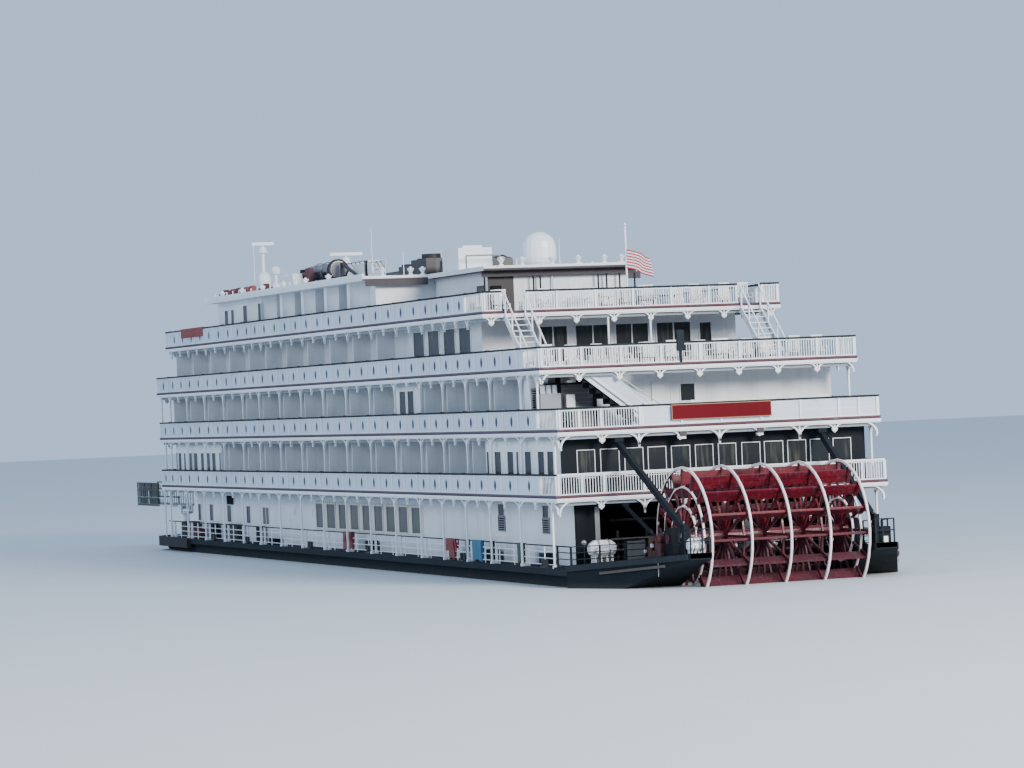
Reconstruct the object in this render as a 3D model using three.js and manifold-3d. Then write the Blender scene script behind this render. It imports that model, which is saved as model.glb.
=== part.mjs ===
// Sternwheel paddle boat, a 1:10 scale model.
// Sizes below are metres of the real boat, turned into millimetres of the model by MODEL_MM.
// X runs from the stern towards the bow, Y to port, Z up. X = 0 is the aft edge of the second
// deck, Y = 0 the centreline and Z = 0 the waterline; the last lines move the origin to the
// middle of the flat bottom.
import * as THREE from "three";
import { mergeVertices } from "three/addons/utils/BufferGeometryUtils.js";
import Module from "manifold-3d";

const MODEL_MM = 100; // one real metre at 1:10
const GAP = 0.003; // real metres between pieces that touch on curved or sloping faces

// Driving dimensions, real metres
const DRAFT = 2.1;
const HULL_HALF = 8.1;
const HULL_TOP = 0.55;
const HULL_AFT = -0.75;
const HULL_FORE = 74.9;
const BOW_RADIUS = 2.4;
const DECK_PLATE = 0.14;
const EDGE_BEAM = { depth: 0.26, width: 0.3, inset: 0.02 };
const BAY_PARTITION = 0.1;
const CABIN_HALF = 6.55;
const TOP_CABIN_HALF = 5.9;
const GALLERY_WALL = 7.85;
const RAIL_HEIGHT = 1.06;

// One row for each deck above the hull: its plate's top, half beam, aft and forward edges.
const DECK = {
  one: { top: 0.85, half: 8.4, aft: -0.75, fore: 75.3 },
  two: { top: 4.15, half: 8.45, aft: 0.0, fore: 72.4 },
  three: { top: 7.2, half: 8.25, aft: 0.05, fore: 73.2 },
  four: { top: 10.12, half: 8.2, aft: 2.24, fore: 73.75 },
  five: { top: 13.05, half: 7.97, aft: 10.43, fore: 71.9 },
};
const ROOF = { top: 15.75, depth: 0.24, half: 8.12, aft: 29.0, fore: 60.9 };
const CANOPY = { half: 4.4, aft: 20.0 };

// Gallery posts along each side, from the bow aft. The bays are not all alike.
const POST_X = [
  70.88, 66.73, 62.48, 58.09, 53.75, 50.13, 45.83, 41.55, 37.24, 32.98, 28.72, 24.4,
  20.22, 16.66, 13.11, 9.6, 5.33,
];

const WHEEL = {
  x: -4.14, z: 2.16, radius: 3.25, frames: [-3.88, -1.94, 0, 1.94, 3.88], frameWidth: 0.09,
  rim: 0.11, rings: [2.36, 1.49], ringDepth: 0.09, arms: 16, armDepth: 0.12,
  bucketInner: 2.42, bucketOuter: 3.02, bucketThick: 0.06, shaft: 0.24, hub: 0.5, shaftHalf: 4.75,
};
const STERN_ARM = { inner: 4.05, outer: 5.1, fore: 0.9, aft: -7.6, low: 0.92, high: 1.6, lip: 0.3 };

// The height of the stern arms' sloping tops
const armTop = (x) => {
  const { fore, aft, low, high } = STERN_ARM;
  return low + ((high - low) * (fore - x)) / (fore - aft);
};

const wasm = await Module();
wasm.setup();

const mm = (metres) => metres * MODEL_MM;

// Geometry to solid and back. Every solid below is in real metres. Its corners lie on a grid of
// SNAP to the metre, which 32-bit numbers hold exactly, so that faces meant to meet do meet.
const SNAP = 16384;
const SLIVER = 0.0005; // real metres; slivers thinner than this are cleaned away
function solid(geometry) {
  const bare = geometry.index ? geometry : geometry.clone();
  bare.deleteAttribute("normal");
  bare.deleteAttribute("uv");
  const corners = bare.attributes.position.array;
  corners.forEach((v, i) => { corners[i] = Math.round(v * SNAP) / SNAP; });
  const merged = mergeVertices(bare, 1e-5);
  return new wasm.Manifold(
    new wasm.Mesh({
      numProp: 3,
      vertProperties: new Float32Array(merged.attributes.position.array),
      triVerts: new Uint32Array(merged.index.array),
    }),
  );
}

// Triangles lower than THIN millimetres are swapped with the neighbour at their longest side: the
// shared side is drawn between the other two corners instead.
const THIN = 0.03;
function turnSlivers(position, index) {
  const corner = (i) => new THREE.Vector3().fromArray(position, 3 * i);
  const height = (a, b, c) => {
    const face = new THREE.Triangle(corner(a), corner(b), corner(c));
    const longest = Math.max(face.a.distanceTo(face.b), face.b.distanceTo(face.c), face.c.distanceTo(face.a));
    return (2 * face.getArea()) / longest;
  };
  const owner = new Map();
  const claim = (t) => {
    for (let k = 0; k < 3; k++) owner.set(index[3 * t + k] + "_" + index[3 * t + ((k + 1) % 3)], t);
  };
  const release = (t) => {
    for (let k = 0; k < 3; k++) owner.delete(index[3 * t + k] + "_" + index[3 * t + ((k + 1) % 3)]);
  };
  const count = index.length / 3;
  for (let t = 0; t < count; t++) claim(t);
  for (let pass = 0; pass < 12; pass++) {
    let turns = 0;
    for (let t = 0; t < count; t++) {
      const three = [index[3 * t], index[3 * t + 1], index[3 * t + 2]];
      const low = height(...three);
      if (low > THIN) continue;
      const sides = three.map((v, k) => corner(v).distanceTo(corner(three[(k + 1) % 3])));
      const k = sides.indexOf(Math.max(...sides));
      const [a, b, c] = [three[k], three[(k + 1) % 3], three[(k + 2) % 3]];
      const other = owner.get(b + "_" + a);
      const d = [0, 1, 2].map((j) => index[3 * other + j]).find((v) => v !== a && v !== b);
      if (owner.has(c + "_" + d) || owner.has(d + "_" + c)) continue;
      if (Math.min(height(c, a, d), height(d, b, c)) <= Math.min(low, height(a, b, d))) continue;
      release(t);
      release(other);
      index.set([c, a, d], 3 * t);
      index.set([d, b, c], 3 * other);
      claim(t);
      claim(other);
      turns++;
    }
    if (turns === 0) break;
  }
}

function geometryOf(made) {
  const mesh = made.simplify(SLIVER).getMesh();
  const position = new Float32Array(mesh.numVert * 3);
  for (let i = 0; i < mesh.numVert; i++) {
    for (let k = 0; k < 3; k++) {
      position[3 * i + k] = mm(mesh.vertProperties[i * mesh.numProp + k]);
    }
  }
  const index = new Uint32Array(mesh.triVerts);
  turnSlivers(position, index);
  return new THREE.BufferGeometry()
    .setAttribute("position", new THREE.BufferAttribute(position, 3))
    .setIndex(new THREE.BufferAttribute(index, 1));
}

const join = (pieces) => wasm.Manifold.union(pieces);

function box(x0, x1, y0, y1, z0, z1) {
  const g = new THREE.BoxGeometry(x1 - x0, y1 - y0, z1 - z0);
  g.translate((x0 + x1) / 2, (y0 + y1) / 2, (z0 + z1) / 2);
  return solid(g);
}

function outline(points) {
  return new THREE.Shape(points.map(([a, b]) => new THREE.Vector2(a, b)));
}

function extruded(shape, depth) {
  return new THREE.ExtrudeGeometry(shape, { depth, bevelEnabled: false, curveSegments: 6 });
}

// A plan outline (x, y) raised from z0 to z1.
function plan(shape, z0, z1) {
  return solid(extruded(shape, z1 - z0).translate(0, 0, z0));
}

// A side outline (x, z) spread from y0 to y1.
function side(points, y0, y1) {
  const g = extruded(outline(points), y1 - y0);
  return solid(g.rotateX(Math.PI / 2).translate(0, y1, 0));
}

// An end outline (y, z) spread from x0 to x1.
function end(points, x0, x1) {
  const g = extruded(outline(points), x1 - x0);
  return solid(g.rotateY(Math.PI / 2).rotateX(Math.PI / 2).translate(x0, 0, 0));
}

// A round bar between two points.
function bar(from, to, radius, sides = 8, endRadius = radius) {
  const a = new THREE.Vector3(...from);
  const b = new THREE.Vector3(...to);
  const g = new THREE.CylinderGeometry(endRadius, radius, a.distanceTo(b), sides);
  const turn = new THREE.Quaternion().setFromUnitVectors(
    new THREE.Vector3(0, 1, 0),
    b.clone().sub(a).normalize(),
  );
  g.applyQuaternion(turn).translate((a.x + b.x) / 2, (a.y + b.y) / 2, (a.z + b.z) / 2);
  return solid(g);
}

// A solid of revolution about a vertical line; the profile is (radius, z) from the axis and back.
function turned(profile, x, y, sides = 20) {
  const points = profile.map(([r, z]) => new THREE.Vector2(r, z));
  const g = new THREE.LatheGeometry(points, sides).rotateX(Math.PI / 2).translate(x, y, 0);
  return solid(g);
}

// A flat ring about the Y axis through the origin.
function ring(outer, inner, y, width, sides = 36) {
  const shape = new THREE.Shape().absarc(0, 0, outer, 0, 2 * Math.PI, false);
  shape.holes.push(new THREE.Path().absarc(0, 0, inner, 0, 2 * Math.PI, true));
  const g = new THREE.ExtrudeGeometry(shape, {
    depth: width, bevelEnabled: false, curveSegments: sides / 2,
  });
  return solid(g.rotateX(Math.PI / 2).translate(0, y + width / 2, 0));
}

// A plan outline with square stern corners and rounded bow corners.
function bowOutline(half, aft, fore, radius) {
  const shape = new THREE.Shape();
  shape.moveTo(aft, -half);
  shape.lineTo(fore - radius, -half);
  shape.absarc(fore - radius, -half + radius, radius, -Math.PI / 2, 0, false);
  shape.lineTo(fore, half - radius);
  shape.absarc(fore - radius, half - radius, radius, 0, Math.PI / 2, false);
  shape.lineTo(aft, half);
  shape.closePath();
  return shape;
}

const COLOUR = {
  white: 0xe9edf0, hull: 0x202a36, charcoal: 0x2b2f33, wine: 0x6a2431, red: 0xa0121c,
  grey: 0x8f979c, rubber: 0x17191b,
};

function piece(name, made, colour, roughness = 0.55, metalness = 0) {
  const mesh = new THREE.Mesh(
    geometryOf(made),
    new THREE.MeshStandardMaterial({ color: COLOUR[colour], roughness, metalness }),
  );
  mesh.name = name;
  return mesh;
}

const boat = new THREE.Group();

// Hull, decks and fender

function hull() {
  const profile = [
    [HULL_AFT, HULL_TOP], [HULL_AFT, -0.55], [7, -DRAFT], [57, -DRAFT], [68.5, -0.1],
    [HULL_FORE, 0.2], [HULL_FORE, HULL_TOP],
  ];
  const body = side(profile, -HULL_HALF, HULL_HALF);
  return body.intersect(plan(bowOutline(HULL_HALF, HULL_AFT, HULL_FORE, BOW_RADIUS), -3, 1));
}

function mainDeck() {
  const { half, aft, fore, top } = DECK.one;
  return plan(bowOutline(half, aft, fore, BOW_RADIUS + 0.3), HULL_TOP, top);
}

function bowFender() {
  const { half, fore, top } = DECK.one;
  const thick = 0.26;
  const outer = plan(bowOutline(half + thick, 66, fore + thick, BOW_RADIUS + 0.56), 0.3, top + 0.05);
  const inner = plan(bowOutline(half + GAP, 60, fore + GAP, BOW_RADIUS + 0.3 + GAP), 0, 2);
  return outer.subtract(inner);
}

// The deck plates above the hull, with the stair well in the fourth.
const WELL = { x0: 2.7, x1: 3.9, y0: 2.3, y1: 5.9 };
function deckPlate(name) {
  const { top, half, aft, fore } = DECK[name];
  const plate = box(aft, fore, -half, half, top - DECK_PLATE, top);
  if (name !== "four") return plate;
  return plate.subtract(box(WELL.x0, WELL.x1, WELL.y0, WELL.y1, top - 1, top + 1));
}

// Teeth that hang from an edge beam, as half outlines (across, down) from the beam to the tip.
const TOOTH = {
  bracket: [[0.62, 0], [0.24, -0.16], [0.07, -0.6]],
  pendant: [[0.42, 0], [0.2, -0.12], [0.08, -0.4]],
  fan: [[0.62, 0], [0.3, -0.18], [0.06, -0.65]],
};

// How far in from an edge beam's face its teeth begin and end.
const TOOTH_SPAN = { outer: 0.06, inner: 0.18 };

// The outline of one tooth at u; with a foot it runs on down to it as a post.
function toothOutline(u, z0, kind, foot) {
  const half = TOOTH[kind].map(([across, down]) => [across, z0 + down]);
  half[0] = [half[0][0], z0 + 0.05];
  if (foot !== undefined) half.push([half[half.length - 1][0], foot]);
  const right = half.map(([across, z]) => [u + across, z]);
  const left = half.map(([across, z]) => [u - across, z]);
  return [...left, ...right.reverse()];
}

// The white edge beam under a deck's rim, with the posts, brackets and drops that hang from it.
// Teeth are rows of u (their place along the beam), kind and foot.
function gallery(name, sideTeeth, sternTeeth) {
  const { top, half, aft, fore } = DECK[name];
  const z1 = top - DECK_PLATE;
  const z0 = z1 - EDGE_BEAM.depth;
  const [y, t] = [half - EDGE_BEAM.inset, EDGE_BEAM.width];
  const [x0, x1] = [aft + EDGE_BEAM.inset, fore - EDGE_BEAM.inset];
  const { outer, inner } = TOOTH_SPAN;
  const pieces = [
    box(x0, x1, y - t, y, z0, z1),
    box(x0, x1, -y, t - y, z0, z1),
    box(x0, x0 + t, -y, y, z0, z1),
    box(x1 - t, x1, -y, y, z0, z1),
  ];
  for (const { u, kind, foot } of sideTeeth) {
    const tooth = toothOutline(u, z0, kind, foot);
    pieces.push(side(tooth, y - inner, y - outer), side(tooth, outer - y, inner - y));
  }
  for (const { u, kind, foot } of sternTeeth) {
    pieces.push(end(toothOutline(u, z0, kind, foot), x0 + outer, x0 + inner));
  }
  return join(pieces);
}

const postTeeth = (places, foot) => places.map((u) => ({ u, kind: "bracket", foot }));
const hanging = (kind, places) => places.map((u) => ({ u, kind }));

// What hangs from the stern beams, which have no posts.
const STERN_TEETH = {
  two: [...hanging("fan", [4.03, 0, -4.1]), ...hanging("pendant", [6.2, 2.05, -2, -6.1])],
  three: [...hanging("fan", [4.16, 0.08, -4.04]), ...hanging("pendant", [6.01, 2.09, -1.97, -5.87])],
  four: hanging("pendant", [6.17, 4.13, 2.07, 0.02, -2.01, -4.05, -6.11]),
  five: hanging("pendant", [4.97, 3.01, 1.01, -0.95, -2.94, -4.92]),
};

// A flat fence from u0 to u1 in equal bays: bars are rows of low and high, and posts reach the
// deck. slab turns its (u, z) rectangles into boxes along X or Y.
function fence(slab, u0, u1, z, count, bars, post) {
  const high = z + bars[bars.length - 1][1];
  const pieces = bars.map(([low, top]) => slab(u0, u1, z + low, z + top));
  for (let i = 0; i <= count; i++) {
    const u = u0 + post / 2 + ((u1 - u0 - post) * i) / count;
    pieces.push(slab(u - post / 2, u + post / 2, z, high));
  }
  return join(pieces);
}

const slabAlongX = (y, thick) => (u0, u1, z0, z1) => box(u0, u1, y - thick / 2, y + thick / 2, z0, z1);
const slabAlongY = (x, thick) => (u0, u1, z0, z1) => box(x - thick / 2, x + thick / 2, u0, u1, z0, z1);

// Railings. The sides and bow are boarded, the stern runs are open.
const RAIL = { inset: 0.08, thick: 0.08, post: 0.1, bay: 6 };
const BOARDED = [[0.12, RAIL_HEIGHT]];
const OPEN = [[0.12, 0.18], [RAIL_HEIGHT - 0.07, RAIL_HEIGHT]];
const bays = (length) => Math.max(1, Math.round(length / RAIL.bay));

function sternRail(y0, y1, x, z) {
  return fence(slabAlongY(x, RAIL.thick), y0, y1, z, bays((y1 - y0) * 2), OPEN, RAIL.post);
}

// The blank board on the third deck's stern rail
const NAME_BOARD = [0.02, 0.1, -2.55, 2.55, 7.5, 8.22];

function railing(name) {
  const { top, half, aft, fore } = DECK[name];
  const h = RAIL.thick / 2;
  const [x0, x1, y] = [aft + RAIL.inset, fore - RAIL.inset, half - RAIL.inset];
  const run = (v) => fence(
    slabAlongX(v, RAIL.thick), x0 - h, x1 + h, top, bays(x1 - x0), BOARDED, RAIL.post,
  );
  const bow = fence(slabAlongY(x1, RAIL.thick), -y, y, top, bays(2 * y), BOARDED, RAIL.post);
  const pieces = [run(y), run(-y), bow];
  if (name === "three") pieces.push(box(...NAME_BOARD));
  const gate = STAIR.outer + 0.1;
  if (name === "five") pieces.push(sternRail(gate, y, x0, top), sternRail(-y, -gate, x0, top));
  else pieces.push(sternRail(-y, y, x0, top));
  return join(pieces);
}

// The main deck's open rail of three bars, from the foredeck round the stern.
const MAIN_RAIL = {
  inset: 0.33, aft: -0.55, fore: 72.4, thick: 0.07, post: 0.08, bay: 6.2,
  bars: [[0.48, 0.54], [0.99, 1.05]],
};
function mainRail() {
  const { inset, aft, fore, thick, post, bay, bars } = MAIN_RAIL;
  const { top, half } = DECK.one;
  const [y, h] = [half - inset, thick / 2];
  const count = Math.round((fore - aft) / bay);
  const run = (v) => fence(slabAlongX(v, thick), aft - h, fore, top, count, bars, post);
  const rails = join([
    run(y),
    run(-y),
    fence(slabAlongY(aft, thick), -y, y, top, 5, bars, post),
  ]);
  // its stern posts stand on the stern arms' tops
  const armTops = side([[1, 0], [1, armTop(1) + GAP], [-1, armTop(-1) + GAP], [-1, 0]], -9, 9);
  return rails.subtract(armTops.subtract(box(-2, 2, -STERN_ARM.inner, STERN_ARM.inner, -1, 3)));
}

// Deckhouses

function houseOne() {
  const [z0, z1] = [DECK.one.top, DECK.two.top - DECK_PLATE];
  const block = plan(bowOutline(7.2, 1.16, 70.6, 2.6), z0, z1);
  const engineFlat = box(1, 6.2, -6.2, 6.2, z0 - 1, z1 - 0.35);
  return block.subtract(engineFlat);
}

// Thin walls across the side gallery, one at each post given.
function partitions(posts, z0, z1, outer = GALLERY_WALL, inner = CABIN_HALF) {
  const [h, root] = [BAY_PARTITION / 2, inner - 0.1];
  return posts.flatMap((x) => [
    box(x - h, x + h, root, outer, z0, z1),
    box(x - h, x + h, -outer, -root, z0, z1),
  ]);
}

function houseTwo() {
  const [z0, z1] = [DECK.two.top, DECK.three.top - DECK_PLATE];
  return join([
    box(1.0, 70.9, -CABIN_HALF, CABIN_HALF, z0, z1),
    box(1.0, 11.3, -7.8, 7.8, z0, z1),
    box(60.0, 70.9, -7.8, 7.8, z0, z1),
    ...partitions(POST_X.filter((x) => x > 12 && x < 60), z0, z1),
  ]);
}

function houseThree() {
  const [z0, z1] = [DECK.three.top, DECK.four.top - DECK_PLATE];
  return join([
    box(4.6, 71.9, -CABIN_HALF, CABIN_HALF, z0, z1),
    box(4.6, 5.4, -GALLERY_WALL, GALLERY_WALL, z0, z1),
    box(21.2, 25.6, -7.7, 7.7, z0, z1),
    ...partitions(POST_X.filter((x) => x > 6 && Math.abs(x - 23) > 2), z0, z1),
  ]);
}

function houseFour() {
  const [z0, z1] = [DECK.four.top, DECK.five.top - DECK_PLATE];
  return join([
    box(13.7, 71.2, -CABIN_HALF, CABIN_HALF, z0, z1),
    box(13.7, 25.2, -6.9, 6.9, z0, z1),
    ...partitions(POST_X.filter((x) => x > 28), z0, z1, GALLERY_WALL - 0.3),
  ]);
}

function houseFive() {
  const [z0, z1] = [DECK.five.top, ROOF.top - ROOF.depth];
  return join([
    box(29.3, 60.4, -TOP_CABIN_HALF, TOP_CABIN_HALF, z0, z1),
    box(52.2, 60.4, -7.5, 7.5, z0, z1),
    box(29.3, 30.2, -7.3, 7.3, z0, z1),
    box(20.9, 29.4, -3.9, 3.9, z0, z1),
    ...partitions([48.3, 44.6, 40.5, 36.0], z0, z1, 7.3, TOP_CABIN_HALF),
  ]);
}

function roof() {
  const { top, depth, half, aft, fore } = ROOF;
  return join([
    box(aft, fore, -half, half, top - depth, top),
    box(CANOPY.aft, aft + 0.1, -CANOPY.half, CANOPY.half, top - depth, top),
  ]);
}

// Stairs. The two from the fifth deck run down aft; the one from the fourth runs down to starboard.
const STAIR = { inner: 5.75, outer: 6.85, run: 3.1, treads: 10, string: 0.06 };

function stairFive(s) {
  const z1 = DECK.five.top;
  const z0 = DECK.four.top + GAP;
  const x1 = DECK.five.aft - 0.02;
  const x0 = x1 - STAIR.run;
  const [ya, yb] = [Math.min(s * STAIR.inner, s * STAIR.outer), Math.max(s * STAIR.inner, s * STAIR.outer)];
  const string = [[x1, z1], [x1, z1 - 0.42], [x0 + 0.3, z0], [x0 - 0.15, z0]];
  const hand = [[x1, z1 + 1.0], [x1, z1 + 0.93], [x0, z0 + 0.93], [x0, z0 + 1.0]];
  const pieces = [];
  for (const y of [ya, yb - STAIR.string]) {
    pieces.push(side(string, y, y + STAIR.string));
    pieces.push(side(hand, y, y + STAIR.string));
    for (const t of [0.02, 0.35, 0.68, 0.97]) {
      const x = x0 + (x1 - x0) * t;
      const z = z0 + (z1 - z0) * t;
      pieces.push(box(x - 0.03, x + 0.03, y, y + STAIR.string, Math.max(z0, z - 0.1), z + 0.95));
    }
  }
  for (let i = 1; i < STAIR.treads; i++) {
    const x = x0 + ((x1 - x0) * i) / STAIR.treads;
    const z = z0 + ((z1 - z0) * i) / STAIR.treads;
    pieces.push(box(x - 0.13, x + 0.13, ya + 0.02, yb - 0.02, z - 0.08, z - 0.04));
  }
  return join(pieces);
}

function stairFour() {
  const z1 = DECK.four.top - 0.02;
  const z0 = DECK.three.top + GAP;
  const [y1, y0] = [WELL.y1 - 0.05, WELL.y0 - 0.1];
  const string = [[y1, z1], [y1, z1 - 0.4], [y0 + 0.35, z0], [y0 - 0.1, z0]];
  const pieces = [];
  for (const x of [WELL.x0 + 0.06, WELL.x1 - 0.12]) {
    pieces.push(end(string, x, x + STAIR.string));
  }
  for (let i = 1; i < STAIR.treads; i++) {
    const y = y0 + ((y1 - y0) * i) / STAIR.treads;
    const z = z0 + ((z1 - z0) * i) / STAIR.treads;
    pieces.push(box(WELL.x0 + 0.08, WELL.x1 - 0.08, y - 0.13, y + 0.13, z - 0.08, z - 0.04));
  }
  return join(pieces);
}

// Paddle wheel: five frames on one shaft, each with three hoops, and buckets across the bays.

const turnedBy = (made, angle) => made.rotate([0, (angle * 180) / Math.PI, 0]);

function wheelFrame() {
  const w = WHEEL;
  const edge = w.frameWidth / 2;
  const flat = (rings, hub) => {
    const pieces = [bar([0, -edge, 0], [0, edge, 0], hub, 12)];
    pieces.push(ring(w.radius, w.radius - w.rim, 0, w.frameWidth, 32));
    for (const r of rings) pieces.push(ring(r, r - w.ringDepth, 0, w.frameWidth, 16));
    const reach = w.radius - w.rim / 2;
    const arm = box(0, reach, -edge, edge, -w.armDepth / 2, w.armDepth / 2);
    for (let i = 0; i < w.arms; i++) pieces.push(turnedBy(arm, (2 * Math.PI * i) / w.arms));
    return join(pieces);
  };
  const outer = flat(w.rings, w.hub);
  const middle = flat([w.rings[0]], w.shaft);
  const last = w.frames.length - 1;
  const pieces = w.frames.map((y, i) => (i % last ? middle : outer).translate([0, y, 0]));
  pieces.push(bar([0, -w.shaftHalf, 0], [0, w.shaftHalf, 0], w.shaft, 12));
  const z = w.armDepth / 2;
  const board = box(w.bucketInner, w.bucketOuter, w.frames[0], w.frames[last], z - 0.02, z + w.bucketThick);
  for (let i = 0; i < w.arms; i++) pieces.push(turnedBy(board, (2 * Math.PI * i) / w.arms));
  return join(pieces);
}

// The timbers that reach aft on each side of the wheel and carry its bearings. A plate runs along
// their top, and the deep part below it ends further forward.
function sternArm(s) {
  const { inner, outer, fore, aft, low, high, lip } = STERN_ARM;
  const { top, half } = DECK.one;
  const profile = [
    [fore, top], [HULL_AFT, top], [HULL_AFT, -0.5], [-2.5, -0.45], [-4.6, 0.25], [-6.3, 0.95],
    [aft, high - lip], [aft, high], [fore, low],
  ];
  const shape = outline([
    [fore, s * inner], [fore, s * half], [HULL_AFT, s * half], [aft, s * outer], [aft, s * inner],
  ]);
  return side(profile, -9, 9).intersect(plan(shape, -3, 3));
}

function bearing(s) {
  const { x, z, shaft } = WHEEL;
  const y = s * 4.5;
  const [low, high] = [armTop(x + 1.1) + GAP, armTop(x - 1.1) + GAP];
  const block = side([
    [x - 0.75, high], [x + 0.75, low + 0.1], [x + 0.4, z + 0.3], [x + 0.22, z + 0.5],
    [x - 0.22, z + 0.5], [x - 0.4, z + 0.3],
  ], y - 0.22, y + 0.22);
  const foot = side([
    [x - 1.1, high], [x + 1.1, low], [x + 1.1, low + 0.2], [x - 1.1, high + 0.12],
  ], y - 0.22, y + 0.22);
  // the short brace up to the second deck's rim
  const beam = DECK.two.top - DECK_PLATE - EDGE_BEAM.depth - GAP;
  const strut = bar([x + 0.4, y, z - 0.55], [0.2, s * 5, beam - 0.13], 0.1, 6);
  const pad = box(0.05, 0.35, s * 5 - 0.15, s * 5 + 0.15, beam - 0.15, beam);
  return join([block, foot, strut, pad]).subtract(bar([x, y - 1, z], [x, y + 1, z], shaft + GAP * 2, 16));
}

// The long brace on each side, from the third deck's rim down to a king post on the stern arm.
const BRACE = { y: 5.2, x: 0.35, kingX: -6.25, kingY: 4.72, kingTop: 2.85, width: 0.26 };
function brace(s) {
  const { y, x, kingX, kingY, kingTop, width } = BRACE;
  const high = DECK.three.top - DECK_PLATE - EDGE_BEAM.depth - GAP;
  const [h, across] = [width / 2, s * kingY];
  return join([
    box(x - 0.3, x + 0.3, s * y - 0.22, s * y + 0.22, high - 0.2, high),
    bar([x, s * y, high - 0.2], [kingX, across, kingTop - 0.3], h * 1.35, 4),
    side([
      [kingX - h, armTop(kingX - h) + GAP], [kingX + h, armTop(kingX + h) + GAP], [kingX + h, kingTop],
      [kingX - h, kingTop],
    ], across - h, across + h),
  ]);
}

// Rudders under the stern rake
const RUDDER = { x: 1.2, y: [-3.6, 3.6], chord: 1.5, low: -1.95 };
const hullRake = (x) => -0.55 - ((DRAFT - 0.55) * (x - HULL_AFT)) / (7 - HULL_AFT);
function rudderBlade() {
  const top = hullRake(RUDDER.x + 0.55) - 0.12;
  const blade = plan(outline([
    [0.45, 0], [0.3, 0.09], [0, 0.11], [-RUDDER.chord, 0.02], [-RUDDER.chord, -0.02], [0, -0.11],
    [0.3, -0.09],
  ]), RUDDER.low, top);
  return join([blade, bar([0, 0, top - 0.2], [0, 0, hullRake(RUDDER.x) + 0.35], 0.08, 10)]);
}

function hullWithRudderTubes() {
  let body = hull();
  for (const y of RUDDER.y) {
    body = body.subtract(bar(
      [RUDDER.x, y, -2], [RUDDER.x, y, hullRake(RUDDER.x) + 0.4], 0.08 + 2 * GAP, 10,
    ));
  }
  return body;
}

// Bow stage on its turntable
const STAGE = { x: 73.6, y: 6.6, z: 2.6, length: 9.9, half: 0.75, ear: 0.42 };
const STAGE_BARS = [[0.42, 0.5], [0.95, 1.03], [1.4, 1.48]];
function stagePost() {
  const { x, y, z } = STAGE;
  return join([
    bar([x, y, DECK.one.top], [x, y, z - 0.35], 0.22, 14),
    bar([x, y, DECK.one.top], [x, y, DECK.one.top + 0.15], 0.45, 14),
  ]);
}

function stageHead() {
  return join([
    bar([0, 0, -0.35 + GAP], [0, 0, -0.2], 0.44, 14),
    box(-0.3, 0.35, -STAGE.ear, -0.3, -0.3, 0.25),
    box(-0.3, 0.35, 0.3, STAGE.ear, -0.3, 0.25),
  ]).subtract(bar([0, -1, 0.08], [0, 1, 0.08], 0.07 + 2 * GAP, 12));
}

function stageSpan() {
  const { length, half } = STAGE;
  const pieces = [
    box(-0.15, 0.9, -0.24, 0.24, -0.03, 0.2),
    box(0.6, length, -half, half, 0.12, 0.24),
  ];
  for (const s of [-1, 1]) {
    const y = s * (half - 0.05);
    pieces.push(fence(slabAlongX(y, 0.08), 0.7, length, 0.2, 5, STAGE_BARS, 0.08));
  }
  pieces.push(bar([0, -STAGE.ear, 0.08], [0, STAGE.ear, 0.08], 0.07, 12));
  return join(pieces);
}

// Roof deck equipment
const STACK = { x: 48.0, y: 5.0, length: 4.9, radius: 0.5, z: ROOF.top + 0.97 };
function stackFoot() {
  const { radius } = STACK;
  const z0 = ROOF.top - STACK.z + GAP;
  return join([
    box(-3.8, 1.5, -0.2, 0.2, z0, z0 + 0.18),
    box(-0.1, 0.9, -radius - 0.25, radius + 0.25, z0, z0 + 0.25),
    box(-3.7, -3.46, -0.55, 0.55, z0, -0.1),
    box(-0.15, 0.35, -radius - 0.25, -radius - 0.1, z0, 0.25),
    box(-0.15, 0.35, radius + 0.1, radius + 0.25, z0, 0.25),
  ]);
}

function stackPipe() {
  const { length, radius } = STACK;
  const barrel = bar([0.35, 0, 0], [-length, 0, 0], radius - 0.05, 16);
  const crown = bar([-length + 0.35, 0, 0], [-length, 0, 0], radius + 0.05, 16);
  const hole = bar([-length + 0.1, 0, 0], [-length - 1, 0, 0], radius - 0.06, 16);
  const pin = bar([0.1, -radius - 0.2, 0], [0.1, radius + 0.2, 0], 0.08, 12);
  return join([barrel, crown, pin]).subtract(hole);
}

function stackBed() {
  const barrel = bar([-4, 0, 0], [-3, 0, 0], STACK.radius - 0.05 + GAP, 16);
  const pinHole = bar([0.1, -2, 0], [0.1, 2, 0], 0.08 + 2 * GAP, 12);
  return stackFoot().subtract(barrel).subtract(pinHole);
}

function radome() {
  const z = ROOF.top;
  return turned([
    [0, z], [0.6, z], [0.63, z + 0.12], [0.8, z + 0.25], [0.9, z + 0.45], [0.9, z + 1.0],
    [0.83, z + 1.34], [0.62, z + 1.65], [0.32, z + 1.82], [0, z + 1.87],
  ], 23.4, 0, 18);
}

const MAST = { x: 57.6, y: 5.3, height: 3.05 };
const SCANNER = [
  { name: "fore", x: MAST.x, y: MAST.y, z: ROOF.top + MAST.height, length: 1.4 },
  { name: "aft", x: 48.0, y: 3.0, z: ROOF.top + 1.86, length: 2.0 },
];

function mast(row) {
  const z = ROOF.top;
  return join([
    bar([row.x, row.y, z], [row.x, row.y, row.z - 0.3], 0.13, 10, 0.1),
    bar([row.x, row.y, z], [row.x, row.y, z + 0.1], 0.28, 10),
    bar([row.x, row.y, row.z - 0.34], [row.x, row.y, row.z], 0.3, 14, 0.2),
  ]);
}

function scanner(row) {
  return join([
    bar([0, 0, GAP], [0, 0, 0.16], 0.07, 10),
    box(-0.11, 0.11, -row.length / 2, row.length / 2, 0.12, 0.3),
  ]);
}

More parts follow.
